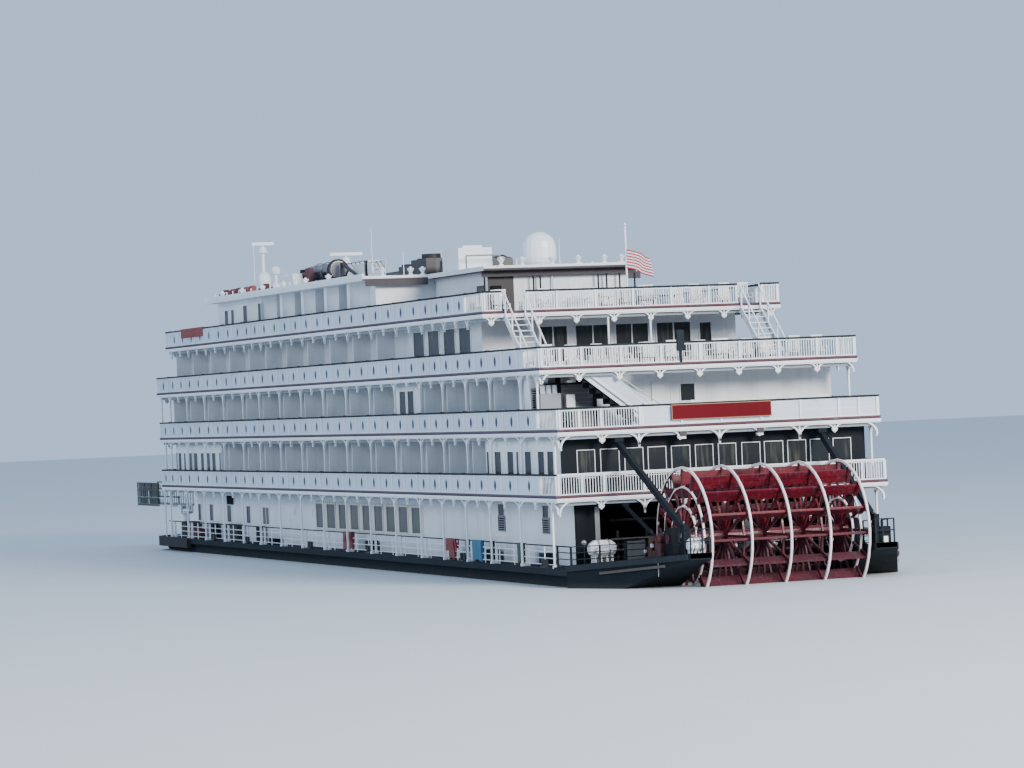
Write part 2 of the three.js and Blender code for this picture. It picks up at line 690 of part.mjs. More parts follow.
function roofHouse() {
  const z = ROOF.top;
  return join([
    box(25.0, 27.6, 2.1, 4.0, z, z + 1.2),
    box(25.5, 27.1, 2.45, 3.55, z + 1.2, z + 1.34),
  ]);
}

function smallDome() {
  const z = ROOF.top;
  return turned([
    [0, z], [0.3, z], [0.3, z + 0.6], [0.41, z + 0.68], [0.42, z + 1.05], [0.34, z + 1.32],
    [0.18, z + 1.46], [0, z + 1.5],
  ], 56.5, 5.6, 16);
}

function globeLamp() {
  const z = ROOF.top;
  return turned([
    [0, z], [0.26, z], [0.26, z + 0.6], [0.1, z + 0.72], [0.1, z + 1.15], [0.22, z + 1.22],
    [0.3, z + 1.43], [0.22, z + 1.64], [0, z + 1.72],
  ], 53.6, 5.7, 14);
}

const FLAGSTAFF = { x: 10.9, y: 0.1, height: 4.1 };
function flagstaff() {
  const { x, y, height } = FLAGSTAFF;
  const z = DECK.five.top;
  return join([
    bar([x, y, z], [x, y, z + height], 0.05, 10),
    bar([x, y, z], [x, y, z + 0.12], 0.18, 10),
    turned([[0, z + height - 0.02], [0.11, z + height + 0.07], [0, z + height + 0.2]], x, y, 10),
  ]);
}

// Life raft capsules lying across the boat on the tops of the stern arms
const CAPSULE = [
  { name: "deck", x: 0.1, y: 6.35, z: 1.68, radius: 0.5, length: 1.5 },
  { name: "arm", x: -7.0, y: 4.62, z: 1.96, radius: 0.36, length: 0.95 },
];
function capsule({ x, y, z, radius, length }) {
  const pieces = [bar([x, y - length / 2, z], [x, y + length / 2, z], radius, 14)];
  const foot = [[x - 0.3, armTop(x - 0.3) + GAP], [x + 0.3, armTop(x + 0.3) + GAP], [x + 0.3, z], [x - 0.3, z]];
  for (const middle of [y - length / 2 + 0.2, y + length / 2 - 0.2]) {
    pieces.push(side(foot, middle - 0.1, middle + 0.1));
  }
  return join(pieces);
}

const DOOR = { x: 4.6 - GAP, y0: 0.65, y1: 1.65, z0: 7.25, z1: 9.35, thick: 0.08 };
function sternDoor() {
  const { y0, y1, z0, z1, thick } = DOOR;
  return join([
    box(-thick, 0, 0.02, y1 - y0 - 0.01, z0, z1),
    bar([-0.06, 0, z0], [-0.06, 0, z1], 0.05, 10),
  ]);
}

// Assembly

function add(group, name, made, colour, roughness, metalness) {
  group.add(piece(name, made, colour, roughness, metalness));
}

function at(x, y, z) {
  const group = new THREE.Group();
  group.position.set(mm(x), mm(y), mm(z));
  boat.add(group);
  return group;
}

add(boat, "hull", hullWithRudderTubes(), "hull", 0.5);
add(boat, "main_deck", mainDeck(), "charcoal", 0.7);
add(boat, "bow_fender", bowFender(), "rubber", 0.85);
add(boat, "main_rail", mainRail(), "white");
add(boat, "house_one", houseOne(), "white");
add(boat, "house_two", houseTwo(), "white");
add(boat, "house_three", houseThree(), "white");
add(boat, "house_four", houseFour(), "white");
add(boat, "house_five", houseFive(), "white");
add(boat, "roof", roof(), "white");
for (const name of ["two", "three", "four", "five"]) {
  add(boat, "deck_" + name, deckPlate(name), "wine", 0.6);
  add(boat, "railing_" + name, railing(name), "white");
}
const GALLERY = [
  { name: "one", above: "two", posts: [...POST_X, 1.0], foot: DECK.one.top },
  { name: "two", above: "three", posts: [...POST_X, 0.9], foot: DECK.two.top },
  { name: "three", above: "four", posts: [...POST_X, 3.0], foot: DECK.three.top },
  { name: "four", above: "five", posts: POST_X.filter((x) => x > 12) },
];
for (const { name, above, posts, foot } of GALLERY) {
  add(boat, "gallery_" + name, gallery(above, postTeeth(posts, foot), STERN_TEETH[above]), "white");
}
add(boat, "railing_five_stern", sternRail(
  0.1 - STAIR.inner, STAIR.inner - 0.1, DECK.five.aft + RAIL.inset, DECK.five.top,
), "white");
add(boat, "stair_port", stairFive(1), "white");
add(boat, "stair_starboard", stairFive(-1), "white");
add(boat, "stair_lower", stairFour(), "white");

for (const [name, s] of [["port", 1], ["starboard", -1]]) {
  add(boat, "stern_arm_" + name, sternArm(s), "hull", 0.6);
  add(boat, "bearing_" + name, bearing(s), "charcoal", 0.6, 0.3);
  add(boat, "brace_" + name, brace(s), "charcoal", 0.6);
  const stack = at(STACK.x, s * STACK.y, STACK.z);
  add(stack, "stack_foot_" + name, stackBed(), "charcoal");
  add(stack, "stack_" + name, stackPipe(), "grey", 0.45, 0.4);
}

const wheel = at(WHEEL.x, 0, WHEEL.z);
add(wheel, "wheel_frame", wheelFrame(), "red", 0.5);

RUDDER.y.forEach((y, i) => add(at(RUDDER.x, y, 0), "rudder_" + (i + 1), rudderBlade(), "hull"));

add(boat, "stage_post", stagePost(), "white");
const stage = at(STAGE.x, STAGE.y, STAGE.z);
add(stage, "stage_head", stageHead(), "grey", 0.5, 0.3);
add(stage, "stage_span", stageSpan(), "grey", 0.5, 0.3);

for (const row of SCANNER) {
  add(boat, "mast_" + row.name, mast(row), "white");
  add(at(row.x, row.y, row.z), "scanner_" + row.name, scanner(row), "white");
}
add(boat, "radome", radome(), "white", 0.35);
add(boat, "roof_house", roofHouse(), "white");
add(boat, "small_dome", smallDome(), "white", 0.35);
add(boat, "globe_lamp", globeLamp(), "white", 0.35);
add(boat, "flagstaff", flagstaff(), "white");
for (const row of CAPSULE) add(boat, "capsule_" + row.name, capsule(row), "white");
add(at(DOOR.x, DOOR.y0, 0), "stern_door", sternDoor(), "white");

// The origin moves to the middle of the flat bottom
boat.position.z = mm(DRAFT);
const model = new THREE.Group();
model.add(boat);
model.updateMatrixWorld(true);
const extent = new THREE.Box3().setFromObject(boat, true);
boat.position.x = -(extent.min.x + extent.max.x) / 2;
boat.position.y = -(extent.min.y + extent.max.y) / 2;

export default model;
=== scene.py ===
"""Dresses the 1:10 sternwheel paddle boat: finishes for its solids, and the fine pieces on them.

Sizes are in metres of the real boat, in the boat's own frame: X = 0 at the aft edge of the second
deck and towards the bow, Y to port, Z = 0 at the waterline. Shape.build() turns them into the
model's frame, at a tenth of the size.
"""

import logging
import math
from collections.abc import Sequence
from dataclasses import dataclass
from enum import Enum
from typing import Any

import bpy
import numpy as np
from mathutils import Matrix, Vector


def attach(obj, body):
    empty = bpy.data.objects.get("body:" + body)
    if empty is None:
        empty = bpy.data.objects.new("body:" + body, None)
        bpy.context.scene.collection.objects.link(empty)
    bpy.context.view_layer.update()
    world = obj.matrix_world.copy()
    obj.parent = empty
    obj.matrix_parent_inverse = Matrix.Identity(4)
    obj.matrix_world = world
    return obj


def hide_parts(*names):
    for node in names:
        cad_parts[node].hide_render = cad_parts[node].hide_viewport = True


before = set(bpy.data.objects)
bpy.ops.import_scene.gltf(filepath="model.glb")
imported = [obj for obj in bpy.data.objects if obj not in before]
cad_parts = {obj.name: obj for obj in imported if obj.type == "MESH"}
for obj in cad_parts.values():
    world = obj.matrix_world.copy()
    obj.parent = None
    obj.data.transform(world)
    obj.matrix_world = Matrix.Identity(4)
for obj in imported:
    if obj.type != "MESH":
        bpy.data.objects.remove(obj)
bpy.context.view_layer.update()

LOG = logging.getLogger("boat")
Array = np.ndarray
Numbers = Sequence[float]
Pair = tuple[float, float]
Triple = tuple[float, float, float]
Colour = Triple
SCALE = 0.1
ORIGIN = np.array([37.95, 0.0, -2.1])
WATERLINE = 0.21

BOX_CORNERS = np.array([[x, y, z] for x in (0, 1) for y in (0, 1) for z in (0, 1)], float)
BOX_FACES = np.array(
    [[0, 1, 3, 2], [4, 6, 7, 5], [0, 4, 5, 1], [2, 3, 7, 6], [0, 2, 6, 4], [1, 5, 7, 3]]
)


def point(x: float, y: float, z: float) -> Array:
    """A point of the real boat in the model's frame."""
    return (np.array([x, y, z]) - ORIGIN) * SCALE


def link(name: str, data: bpy.types.ID) -> bpy.types.Object:
    """Makes an object of its data and puts it in the scene.

    Args:
        name: its name.
        data: its mesh, light or camera.
    Returns:
        The object.
    """
    made = bpy.data.objects.new(name, data)
    bpy.context.scene.collection.objects.link(made)
    return made


# Shader graphs


class Value:
    """A shader number; + - * and / on it add Math nodes."""

    def __init__(self, graph: "Graph", socket: bpy.types.NodeSocket) -> None:
        """Wraps one output socket."""
        self.graph, self.socket = graph, socket

    def math(self, operation: str, *others: Any, clamp: bool = False) -> "Value":
        """This value and others through one Math node."""
        settings = {"operation": operation, "use_clamp": clamp}
        return self.graph.node("ShaderNodeMath", settings, self, *others)[0]

    def __add__(self, other: Any) -> "Value":
        """Sum."""
        return self.math("ADD", other)

    __radd__ = __add__

    def __sub__(self, other: Any) -> "Value":
        """Difference."""
        return self.math("SUBTRACT", other)

    def __rsub__(self, other: Any) -> "Value":
        """Number minus this."""
        return (self * -1.0) + other

    def __mul__(self, other: Any) -> "Value":
        """Product."""
        return self.math("MULTIPLY", other)

    __rmul__ = __mul__

    def __truediv__(self, other: Any) -> "Value":
        """Quotient."""
        return self.math("DIVIDE", other)

    def __abs__(self) -> "Value":
        """Size without sign."""
        return self.math("ABSOLUTE")

    def ramp(self, low: float, high: float) -> "Value":
        """0 below low, 1 above high and straight between; high may be the smaller one."""
        return ((self - low) * (1.0 / (high - low))).math("ADD", 0.0, clamp=True)


class Graph:
    """One material's nodes."""

    def __init__(self, name: str) -> None:
        """Makes an empty material with its output and its shader.

        Args:
            name: the name of the material.
        """
        self.material = bpy.data.materials.new(name)
        self.material.use_nodes = True
        self.tree = self.material.node_tree
        self.tree.nodes.clear()
        self.output = self.tree.nodes.new("ShaderNodeOutputMaterial")
        self.shader = self.tree.nodes.new("ShaderNodeBsdfPrincipled")
        self.tree.links.new(self.shader.outputs[0], self.output.inputs[0])
        self.place = self.node("ShaderNodeTexCoord", {})[3]

    def node(self, kind: str, settings: dict[str, Any], *inputs: Any, **named: Any) -> list[Value]:
        """Adds a node.

        Args:
            kind: the node's type.
            settings: its properties, set first.
            inputs: numbers, colours or values for its inputs in order; None leaves one as it is.
            named: the same by input name.
        Returns:
            Its outputs.
        """
        made = self.tree.nodes.new(kind)
        for key, value in settings.items():
            setattr(made, key, value)
        pairs = [(made.inputs[i], v) for i, v in enumerate(inputs)]
        pairs += [(made.inputs[k], v) for k, v in named.items()]
        for socket, value in pairs:
            self.plug(socket, value)
        return [Value(self, out) for out in made.outputs]

    def plug(self, socket: bpy.types.NodeSocket, value: Any) -> None:
        """Links a value to an input, or sets a number or colour on it; None leaves it as it is.

        Args:
            socket: the input.
            value: a value, number, colour or None.
        """
        if isinstance(value, Value):
            self.tree.links.new(value.socket, socket)
        elif isinstance(value, tuple):
            socket.default_value = (*value, 1.0)[: len(socket.default_value)]
        elif value is not None:
            socket.default_value = value

    def noise(self, scale: float, detail: float = 2.0, stretch: Numbers = (1, 1, 1)) -> Value:
        """Cloudy noise on the piece's own place, 0 to 1 about 0.5."""
        place = self.node("ShaderNodeMapping", {}, self.place, Scale=tuple(stretch))[0]
        return self.node("ShaderNodeTexNoise", {}, place, Scale=scale, Detail=detail)[0]

    def axes(self) -> list[Value]:
        """The piece's own X, Y and Z in model metres."""
        return self.node("ShaderNodeSeparateXYZ", {}, self.place)[:3]

    def mix(self, share: Any, first: Any, second: Any) -> Value:
        """A colour between two."""
        unused = [None] * 5
        return self.node("ShaderNodeMix", {"data_type": "RGBA"}, share, *unused, first, second)[2]

    def bump(self, height: Value, depth: float, strength: float = 1.0) -> None:
        """Roughens the shader's surface."""
        normal = self.node("ShaderNodeBump", {}, Strength=strength, Distance=depth, Height=height)[0]
        self.set(Normal=normal)

    def set(self, **inputs: Any) -> None:
        """Sets the shader's inputs by name, with _ for a space."""
        for key, value in inputs.items():
            self.plug(self.shader.inputs[key.replace("_", " ")], value)


@dataclass(frozen=True)
class Paint:
    """Paint on plate: a colour with cloudy tone, fine streaks running down and grime."""

    name: str
    colour: Colour
    roughness: float = 0.42
    metallic: float = 0.0
    coat: float = 0.0
    grime: Colour = (0.3, 0.29, 0.26)
    dirt: float = 0.35
    tone: float = 0.06
    ripple: float = 0.0006
    shine: float = 0.5

    def material(self) -> bpy.types.Material:
        """The material, made once."""
        found = bpy.data.materials.get(self.name)
        return found or self.make(Graph(self.name))

    def make(self, graph: Graph) -> bpy.types.Material:
        """Draws the paint.

        Args:
            graph: the empty material.
        Returns:
            The finished material.
        """
        cloud = graph.noise(3.0, 3.0)
        streaks = graph.noise(26.0, 4.0, (1, 1, 0.07))
        specks = graph.noise(150.0, 2.0)
        darker = tuple(c * (1 - 2.2 * self.tone) for c in self.colour)
        colour = graph.mix(cloud.ramp(0.3, 0.75), self.colour, darker)
        worn = (streaks.ramp(0.54, 0.78) * 0.7 + specks.ramp(0.62, 0.8) * 0.3) * self.dirt
        self.finish(graph, graph.mix(worn, colour, self.grime), worn, cloud)
        graph.set(Specular_IOR_Level=self.shine)
        return graph.material

    def surface(self, graph: Graph, colour: Value, worn: Value, cloud: Value) -> None:
        """Sets colour, roughness, metal and coat."""
        graph.set(Base_Color=colour, Roughness=worn * 0.3 + (cloud * 0.08 + (self.roughness - 0.04)))
        graph.set(Metallic=self.metallic, Coat_Weight=self.coat)

    def finish(self, graph: Graph, colour: Value, worn: Value, cloud: Value) -> None:
        """Sets the shader; each kind of paint has its own way."""
        self.surface(graph, colour, worn, cloud)
        graph.bump(cloud * 0.6 + graph.noise(60.0, 2.0) * 0.4, self.ripple, 0.6)


@dataclass(frozen=True)
class WallPaint(Paint):
    """White plate in broad strakes with faint seams."""

    strake: float = 0.122
    course: float = 0.0725

    def finish(self, graph: Graph, colour: Value, worn: Value, cloud: Value) -> None:
        """Adds the seams between plates to the paint."""
        x, y, z = graph.axes()
        seams = None
        for axis, pitch in ((x, self.strake), (y, self.strake), (z, self.course)):
            across = (axis / pitch).math("FRACT")
            seam = abs(across - 0.5).ramp(0.488, 0.498)
            seams = seam if seams is None else seams.math("MAXIMUM", seam)
        self.surface(graph, graph.mix(seams * 0.22, colour, self.grime), worn, cloud)
        graph.bump(cloud * 0.7 - seams * 0.25, self.ripple * 2.0, 0.7)


@dataclass(frozen=True)
class HullPaint(Paint):
    """Dark hull paint with a silty band just over the water and rust runs."""

    silt: Colour = (0.045, 0.044, 0.04)

    def finish(self, graph: Graph, colour: Value, worn: Value, cloud: Value) -> None:
        """Adds the silt and the runs."""
        z = graph.axes()[2]
        runs = graph.noise(14.0, 5.0, (1, 1, 0.12)).ramp(0.56, 0.72)
        band = (z + graph.noise(20.0, 3.0) * 0.02).ramp(0.25, 0.222)
        below = graph.mix(band * 0.75, colour, self.silt)
        rusty = graph.mix(runs * 0.25, below, (0.05, 0.028, 0.02))
        graph.set(Base_Color=rusty, Roughness=band * 0.25 + worn * 0.2 + self.roughness)
        graph.bump(cloud * 0.5 + runs * 0.2, self.ripple * 2.5, 0.7)


@dataclass(frozen=True)
class WheelPaint(Paint):
    """Red wheel paint, wet and streaked, with hoops and outer rings picked out in white."""

    hoop: Colour = (0.84, 0.72, 0.7)
    centre_x: float = -4.14
    centre_z: float = 2.16
    frame_from: float = 0.3825
    rim: float = 0.3132
    rings: Pair = (0.2315, 0.1445)

    def finish(self, graph: Graph, colour: Value, worn: Value, cloud: Value) -> None:
        """Paints hoops and rings by their distance from the shaft, in model metres."""
        x, y, z = graph.axes()
        cx, _, cz = point(self.centre_x, 0, self.centre_z)
        dx, dz = x - float(cx), z - float(cz)
        reach = (dx * dx + dz * dz).math("SQRT")
        white = reach.ramp(self.rim, self.rim + 0.0006)
        outer = abs(y).ramp(self.frame_from, self.frame_from + 0.0007)
        for ring in self.rings:
            white = white.math("MAXIMUM", outer * abs(reach - ring).ramp(0.0056, 0.0048))
        wet = graph.noise(30.0, 5.0, (1, 0.3, 1)).ramp(0.42, 0.72)
        drips = graph.noise(90.0, 3.0, (1, 1, 0.1)).ramp(0.52, 0.7)
        deep = graph.mix(wet * 0.8, colour, (0.032, 0.008, 0.015))
        soaked = graph.mix(z.ramp(0.48, 0.36) * 0.55, deep, (0.05, 0.028, 0.036))
        red = graph.mix(drips * 0.25, soaked, (0.17, 0.12, 0.14))
        chalk = graph.mix(drips * 0.3, self.hoop, (0.52, 0.28, 0.27))
        graph.set(Base_Color=graph.mix(white, red, chalk), Roughness=0.42 - wet * 0.2)
        graph.set(Coat_Weight=wet * 0.12)
        graph.bump(wet * 0.6 + drips * 0.4, 0.0012, 0.8)


@dataclass(frozen=True)
class Glass(Paint):
    """Dark window glass with a hint of curtains behind it."""

    curtain: Colour = (0.13, 0.12, 0.1)

    def finish(self, graph: Graph, colour: Value, worn: Value, cloud: Value) -> None:
        """Shades the panes one from another."""
        folds = graph.noise(60.0, 2.0, (1, 1, 0.1)).ramp(0.45, 0.65)
        rooms = graph.noise(7.0, 0.0).ramp(0.4, 0.62)
        pane = graph.mix(folds * rooms * 0.55, colour, self.curtain)
        graph.set(Base_Color=pane, Roughness=0.2 + cloud * 0.1)
        graph.bump(graph.noise(9.0, 1.0), 0.0006, 0.25)


@dataclass(frozen=True)
class FlagCloth(Paint):
    """Woven cloth in its own colour."""

    def finish(self, graph: Graph, colour: Value, worn: Value, cloud: Value) -> None:
        """Adds the weave."""
        weave = graph.noise(900.0, 1.0)
        graph.set(Base_Color=colour, Roughness=0.85, Sheen_Weight=0.3)
        graph.bump(weave, 0.0003, 0.5)


@dataclass(frozen=True)
class StagePaint(Paint):
    """Olive grey on the outer part of the stage, and pale paint towards its hinge."""

    pale: Colour = (0.6, 0.64, 0.68)
    split_x: float = 77.5

    def finish(self, graph: Graph, colour: Value, worn: Value, cloud: Value) -> None:
        """Changes the paint where the outer part begins."""
        x, _, z = graph.axes()
        split = float(point(self.split_x, 0, 0)[0])
        outer = x.ramp(split - 0.002, split + 0.002)
        shade = graph.mix(outer, self.pale, colour)
        graph.set(Base_Color=graph.mix(worn * 0.5, shade, self.grime), Roughness=cloud * 0.1 + self.roughness)
        graph.bump(cloud * 0.5 + z * 0.2, self.ripple, 0.5)


DULL = {"roughness": 0.7, "shine": 0.2}
FLAT = {"roughness": 0.8, "shine": 0.2}
MATT = {"roughness": 0.8, "shine": 0.15}
WHITE = WallPaint("white_plate", (0.8, 0.83, 0.86))
# a brighter, bluer white than the walls' for the fifth deck's coves: painted light on them
LIT_COVE = Paint("cove_white_painted_light", (0.9, 0.94, 0.98), 0.6, dirt=0.15, tone=0.03)
RAIL = Paint("rail_white", (0.84, 0.87, 0.9), 0.35, dirt=0.15)
TRIM = Paint("trim_white", (0.86, 0.88, 0.9), 0.38, dirt=0.12)
CAP = Paint("cap_rail_dark", (0.014, 0.02, 0.025), 0.7, dirt=0.1, grime=(0.05, 0.05, 0.05), shine=0.15)
WINE = Paint("burgundy_edge", (0.046, 0.022, 0.028), dirt=0.3, grime=(0.09, 0.075, 0.08), **DULL)
TOE_SIDE = Paint("toe_lavender", (0.105, 0.085, 0.115), dirt=0.4, grime=(0.15, 0.14, 0.16), **DULL)
TOE = Paint("toe_maroon", (0.115, 0.05, 0.068), dirt=0.4, grime=(0.24, 0.2, 0.23), **DULL)
# grey-blue of the galleries' set-back webs: painted shade under the decks' edges
WEB_SHADE = Paint("web_painted_shade", (0.27, 0.305, 0.34), 0.7, dirt=0.3, grime=(0.1, 0.1, 0.11))
# dark taupe under the aft canopy: painted shade below the roof's edge
CANOPY_SHADE = Paint("canopy_painted_shade", (0.06, 0.05, 0.056), 0.7, dirt=0.3, grime=(0.12, 0.11, 0.11))
DECK_GREY = Paint("deck_grey", (0.016, 0.022, 0.028), dirt=0.4, grime=(0.05, 0.055, 0.06), **MATT)
# a darker, bluer white for the rail boards and the stair's side: painted shade on the boards set back between
# the posts
SHADED_PANEL = Paint("panel_white_painted_shade", (0.62, 0.69, 0.79), 0.45, dirt=0.2, grime=(0.34, 0.36, 0.38))
NAVY = Paint("lancet_navy", (0.022, 0.035, 0.06), 0.5, dirt=0.1, grime=(0.08, 0.09, 0.1))
CREAM = Paint("cream_frame", (0.72, 0.7, 0.62), 0.45, dirt=0.25)
STRAKE = Paint("rub_strake", (0.085, 0.072, 0.07), dirt=0.6, grime=(0.13, 0.115, 0.105), **FLAT)
ARM_GREY = Paint("arm_plate", (0.022, 0.028, 0.034), dirt=0.4, grime=(0.055, 0.06, 0.065), **MATT)
DRIVE_RED = Paint("drive_red", (0.075, 0.022, 0.02), 0.5, dirt=0.6, grime=(0.1, 0.09, 0.085))
CHARCOAL = Paint(
    "charcoal_wall", (0.013, 0.016, 0.02), 0.8, dirt=0.15, grime=(0.035, 0.037, 0.04), shine=0.12
)
# near black for openings, recesses and the space under steps: painted shade
RECESS_SHADE = Paint("recess_painted_shade", (0.012, 0.014, 0.017), 0.8, dirt=0.3, grime=(0.03, 0.03, 0.03), shine=0.1)
HULL = HullPaint("hull_navy", (0.01, 0.015, 0.02), 0.8, dirt=0.2, grime=(0.03, 0.033, 0.036), shine=0.12)
RUBBER = Paint("black_rubber", (0.014, 0.014, 0.015), 0.8, dirt=0.5, grime=(0.07, 0.065, 0.06))
WHEEL_RED = WheelPaint("wheel_red", (0.135, 0.005, 0.014), 0.5, dirt=0.2, grime=(0.1, 0.06, 0.07), shine=0.25)
GEAR_RED = Paint("gear_red", (0.2, 0.035, 0.025), 0.5, dirt=0.6, grime=(0.12, 0.09, 0.08))
IRON = Paint("dark_steel", (0.025, 0.027, 0.03), 0.4, metallic=0.3, dirt=0.3)
STEEL = Paint("grey_steel", (0.3, 0.32, 0.33), 0.4, metallic=0.6, dirt=0.3)
STAGE_OLIVE = StagePaint("stage_olive", (0.05, 0.06, 0.052), 0.6, dirt=0.3, grime=(0.12, 0.12, 0.11))
STAGE_BROWN = Paint("stage_canvas", (0.105, 0.1, 0.088), dirt=0.4, grime=(0.16, 0.15, 0.13), **FLAT)
STAGE_MESH = Paint("stage_mesh", (0.07, 0.085, 0.078), dirt=0.5, grime=(0.14, 0.15, 0.14), **FLAT)
STACK_STEEL = Paint("stack_steel", (0.23, 0.24, 0.25), 0.35, metallic=0.75, dirt=0.4)
STACK_LID = Paint("stack_lid", (0.2, 0.185, 0.2), 0.7, dirt=0.4)
STACK_DARK = Paint("stack_soot", (0.018, 0.018, 0.02), 0.6, dirt=0.3, grime=(0.06, 0.06, 0.06))
SHELL = Paint("moulded_shell", (0.84, 0.86, 0.88), 0.3, coat=0.25, dirt=0.15)
GLASS = Glass("window_glass", (0.012, 0.016, 0.019), 0.2, dirt=0.0, curtain=(0.09, 0.085, 0.07), shine=0.2)
BROWN_GLASS = Glass(
    "bronze_glass", (0.095, 0.09, 0.082), 0.1, dirt=0.0, curtain=(0.05, 0.055, 0.05), shine=0.2
)
BOARD = Paint("name_board_wine", (0.125, 0.005, 0.01), dirt=0.15, grime=(0.1, 0.03, 0.03), **MATT)
BOW_BOARD = Paint("bow_board_red", (0.26, 0.07, 0.06), dirt=0.5, grime=(0.16, 0.06, 0.05), **DULL)
GOLD = Paint("gilt_edge", (0.3, 0.16, 0.1), 0.5, metallic=0.3, dirt=0.2)
RAFT_RED = Paint("raft_red", (0.22, 0.02, 0.026), 0.5, dirt=0.4, grime=(0.12, 0.08, 0.08))
MAROON = Paint("cover_maroon", (0.085, 0.014, 0.022), 0.6, dirt=0.4, grime=(0.1, 0.07, 0.08))
OLIVE = Paint("cover_olive", (0.03, 0.038, 0.032), 0.75, dirt=0.4, grime=(0.07, 0.075, 0.06))
LOCKER_GREY = Paint("locker_grey", (0.26, 0.29, 0.32), 0.5, dirt=0.4)
CRATE = Paint("locker_white", (0.8, 0.82, 0.82), 0.4, dirt=0.3)
TARP_BLUE = Paint("tarpaulin_blue", (0.03, 0.14, 0.24), 0.6, dirt=0.3)
LEAF = Paint("planter_green", (0.045, 0.065, 0.05), 0.7, dirt=0.5, grime=(0.12, 0.16, 0.08))
LOUVRE = Paint("louvre_grey", (0.2, 0.21, 0.22), 0.5, dirt=0.5, grime=(0.06, 0.06, 0.06))
# dark brown: housings of the stern lamps, and painted shade on the fifth deck's aft house
BROWN_AND_SHADE = Paint("brown_and_painted_shade", (0.06, 0.05, 0.052), 0.7, dirt=0.3, grime=(0.09, 0.08, 0.08))
NICHE = Paint("niche_brown", (0.16, 0.155, 0.155), 0.7, dirt=0.7, grime=(0.06, 0.055, 0.05))
FLAG_RED = FlagCloth("flag_red", (0.42, 0.03, 0.05), dirt=0.0)
FLAG_WHITE = FlagCloth("flag_white", (0.8, 0.8, 0.8), dirt=0.0)


# Shapes


def rows(*points: Numbers | Array) -> Array:
    """Points as an array of rows, with single numbers spread over the rows."""
    return np.stack(np.broadcast_arrays(*[np.asarray(p, float) for p in points]), axis=-1).reshape(-1, 3)


def turns(count: int) -> Array:
    """Angles of even steps once round."""
    return np.linspace(0, 2 * math.pi, count, endpoint=False)


def matched(start: Array, end: Array) -> list[Array]:
    """Two arrays as rows, with as many rows each."""
    return np.broadcast_arrays(np.atleast_2d(start), np.atleast_2d(end))


def grid_faces(m: int, n: int) -> Array:
    """Quads between the points of a grid: k, k + 1, k + n + 1 and k + n, for k = i n + j.

    Args:
        m: how many points along the first index.
        n: how many along the second.
    Returns:
        One row for each quad.
    """
    i, j = np.meshgrid(np.arange(m - 1), np.arange(n - 1), indexing="ij")
    k = (i * n + j).ravel()
    return np.stack([k, k + 1, k + n + 1, k + n], axis=1)


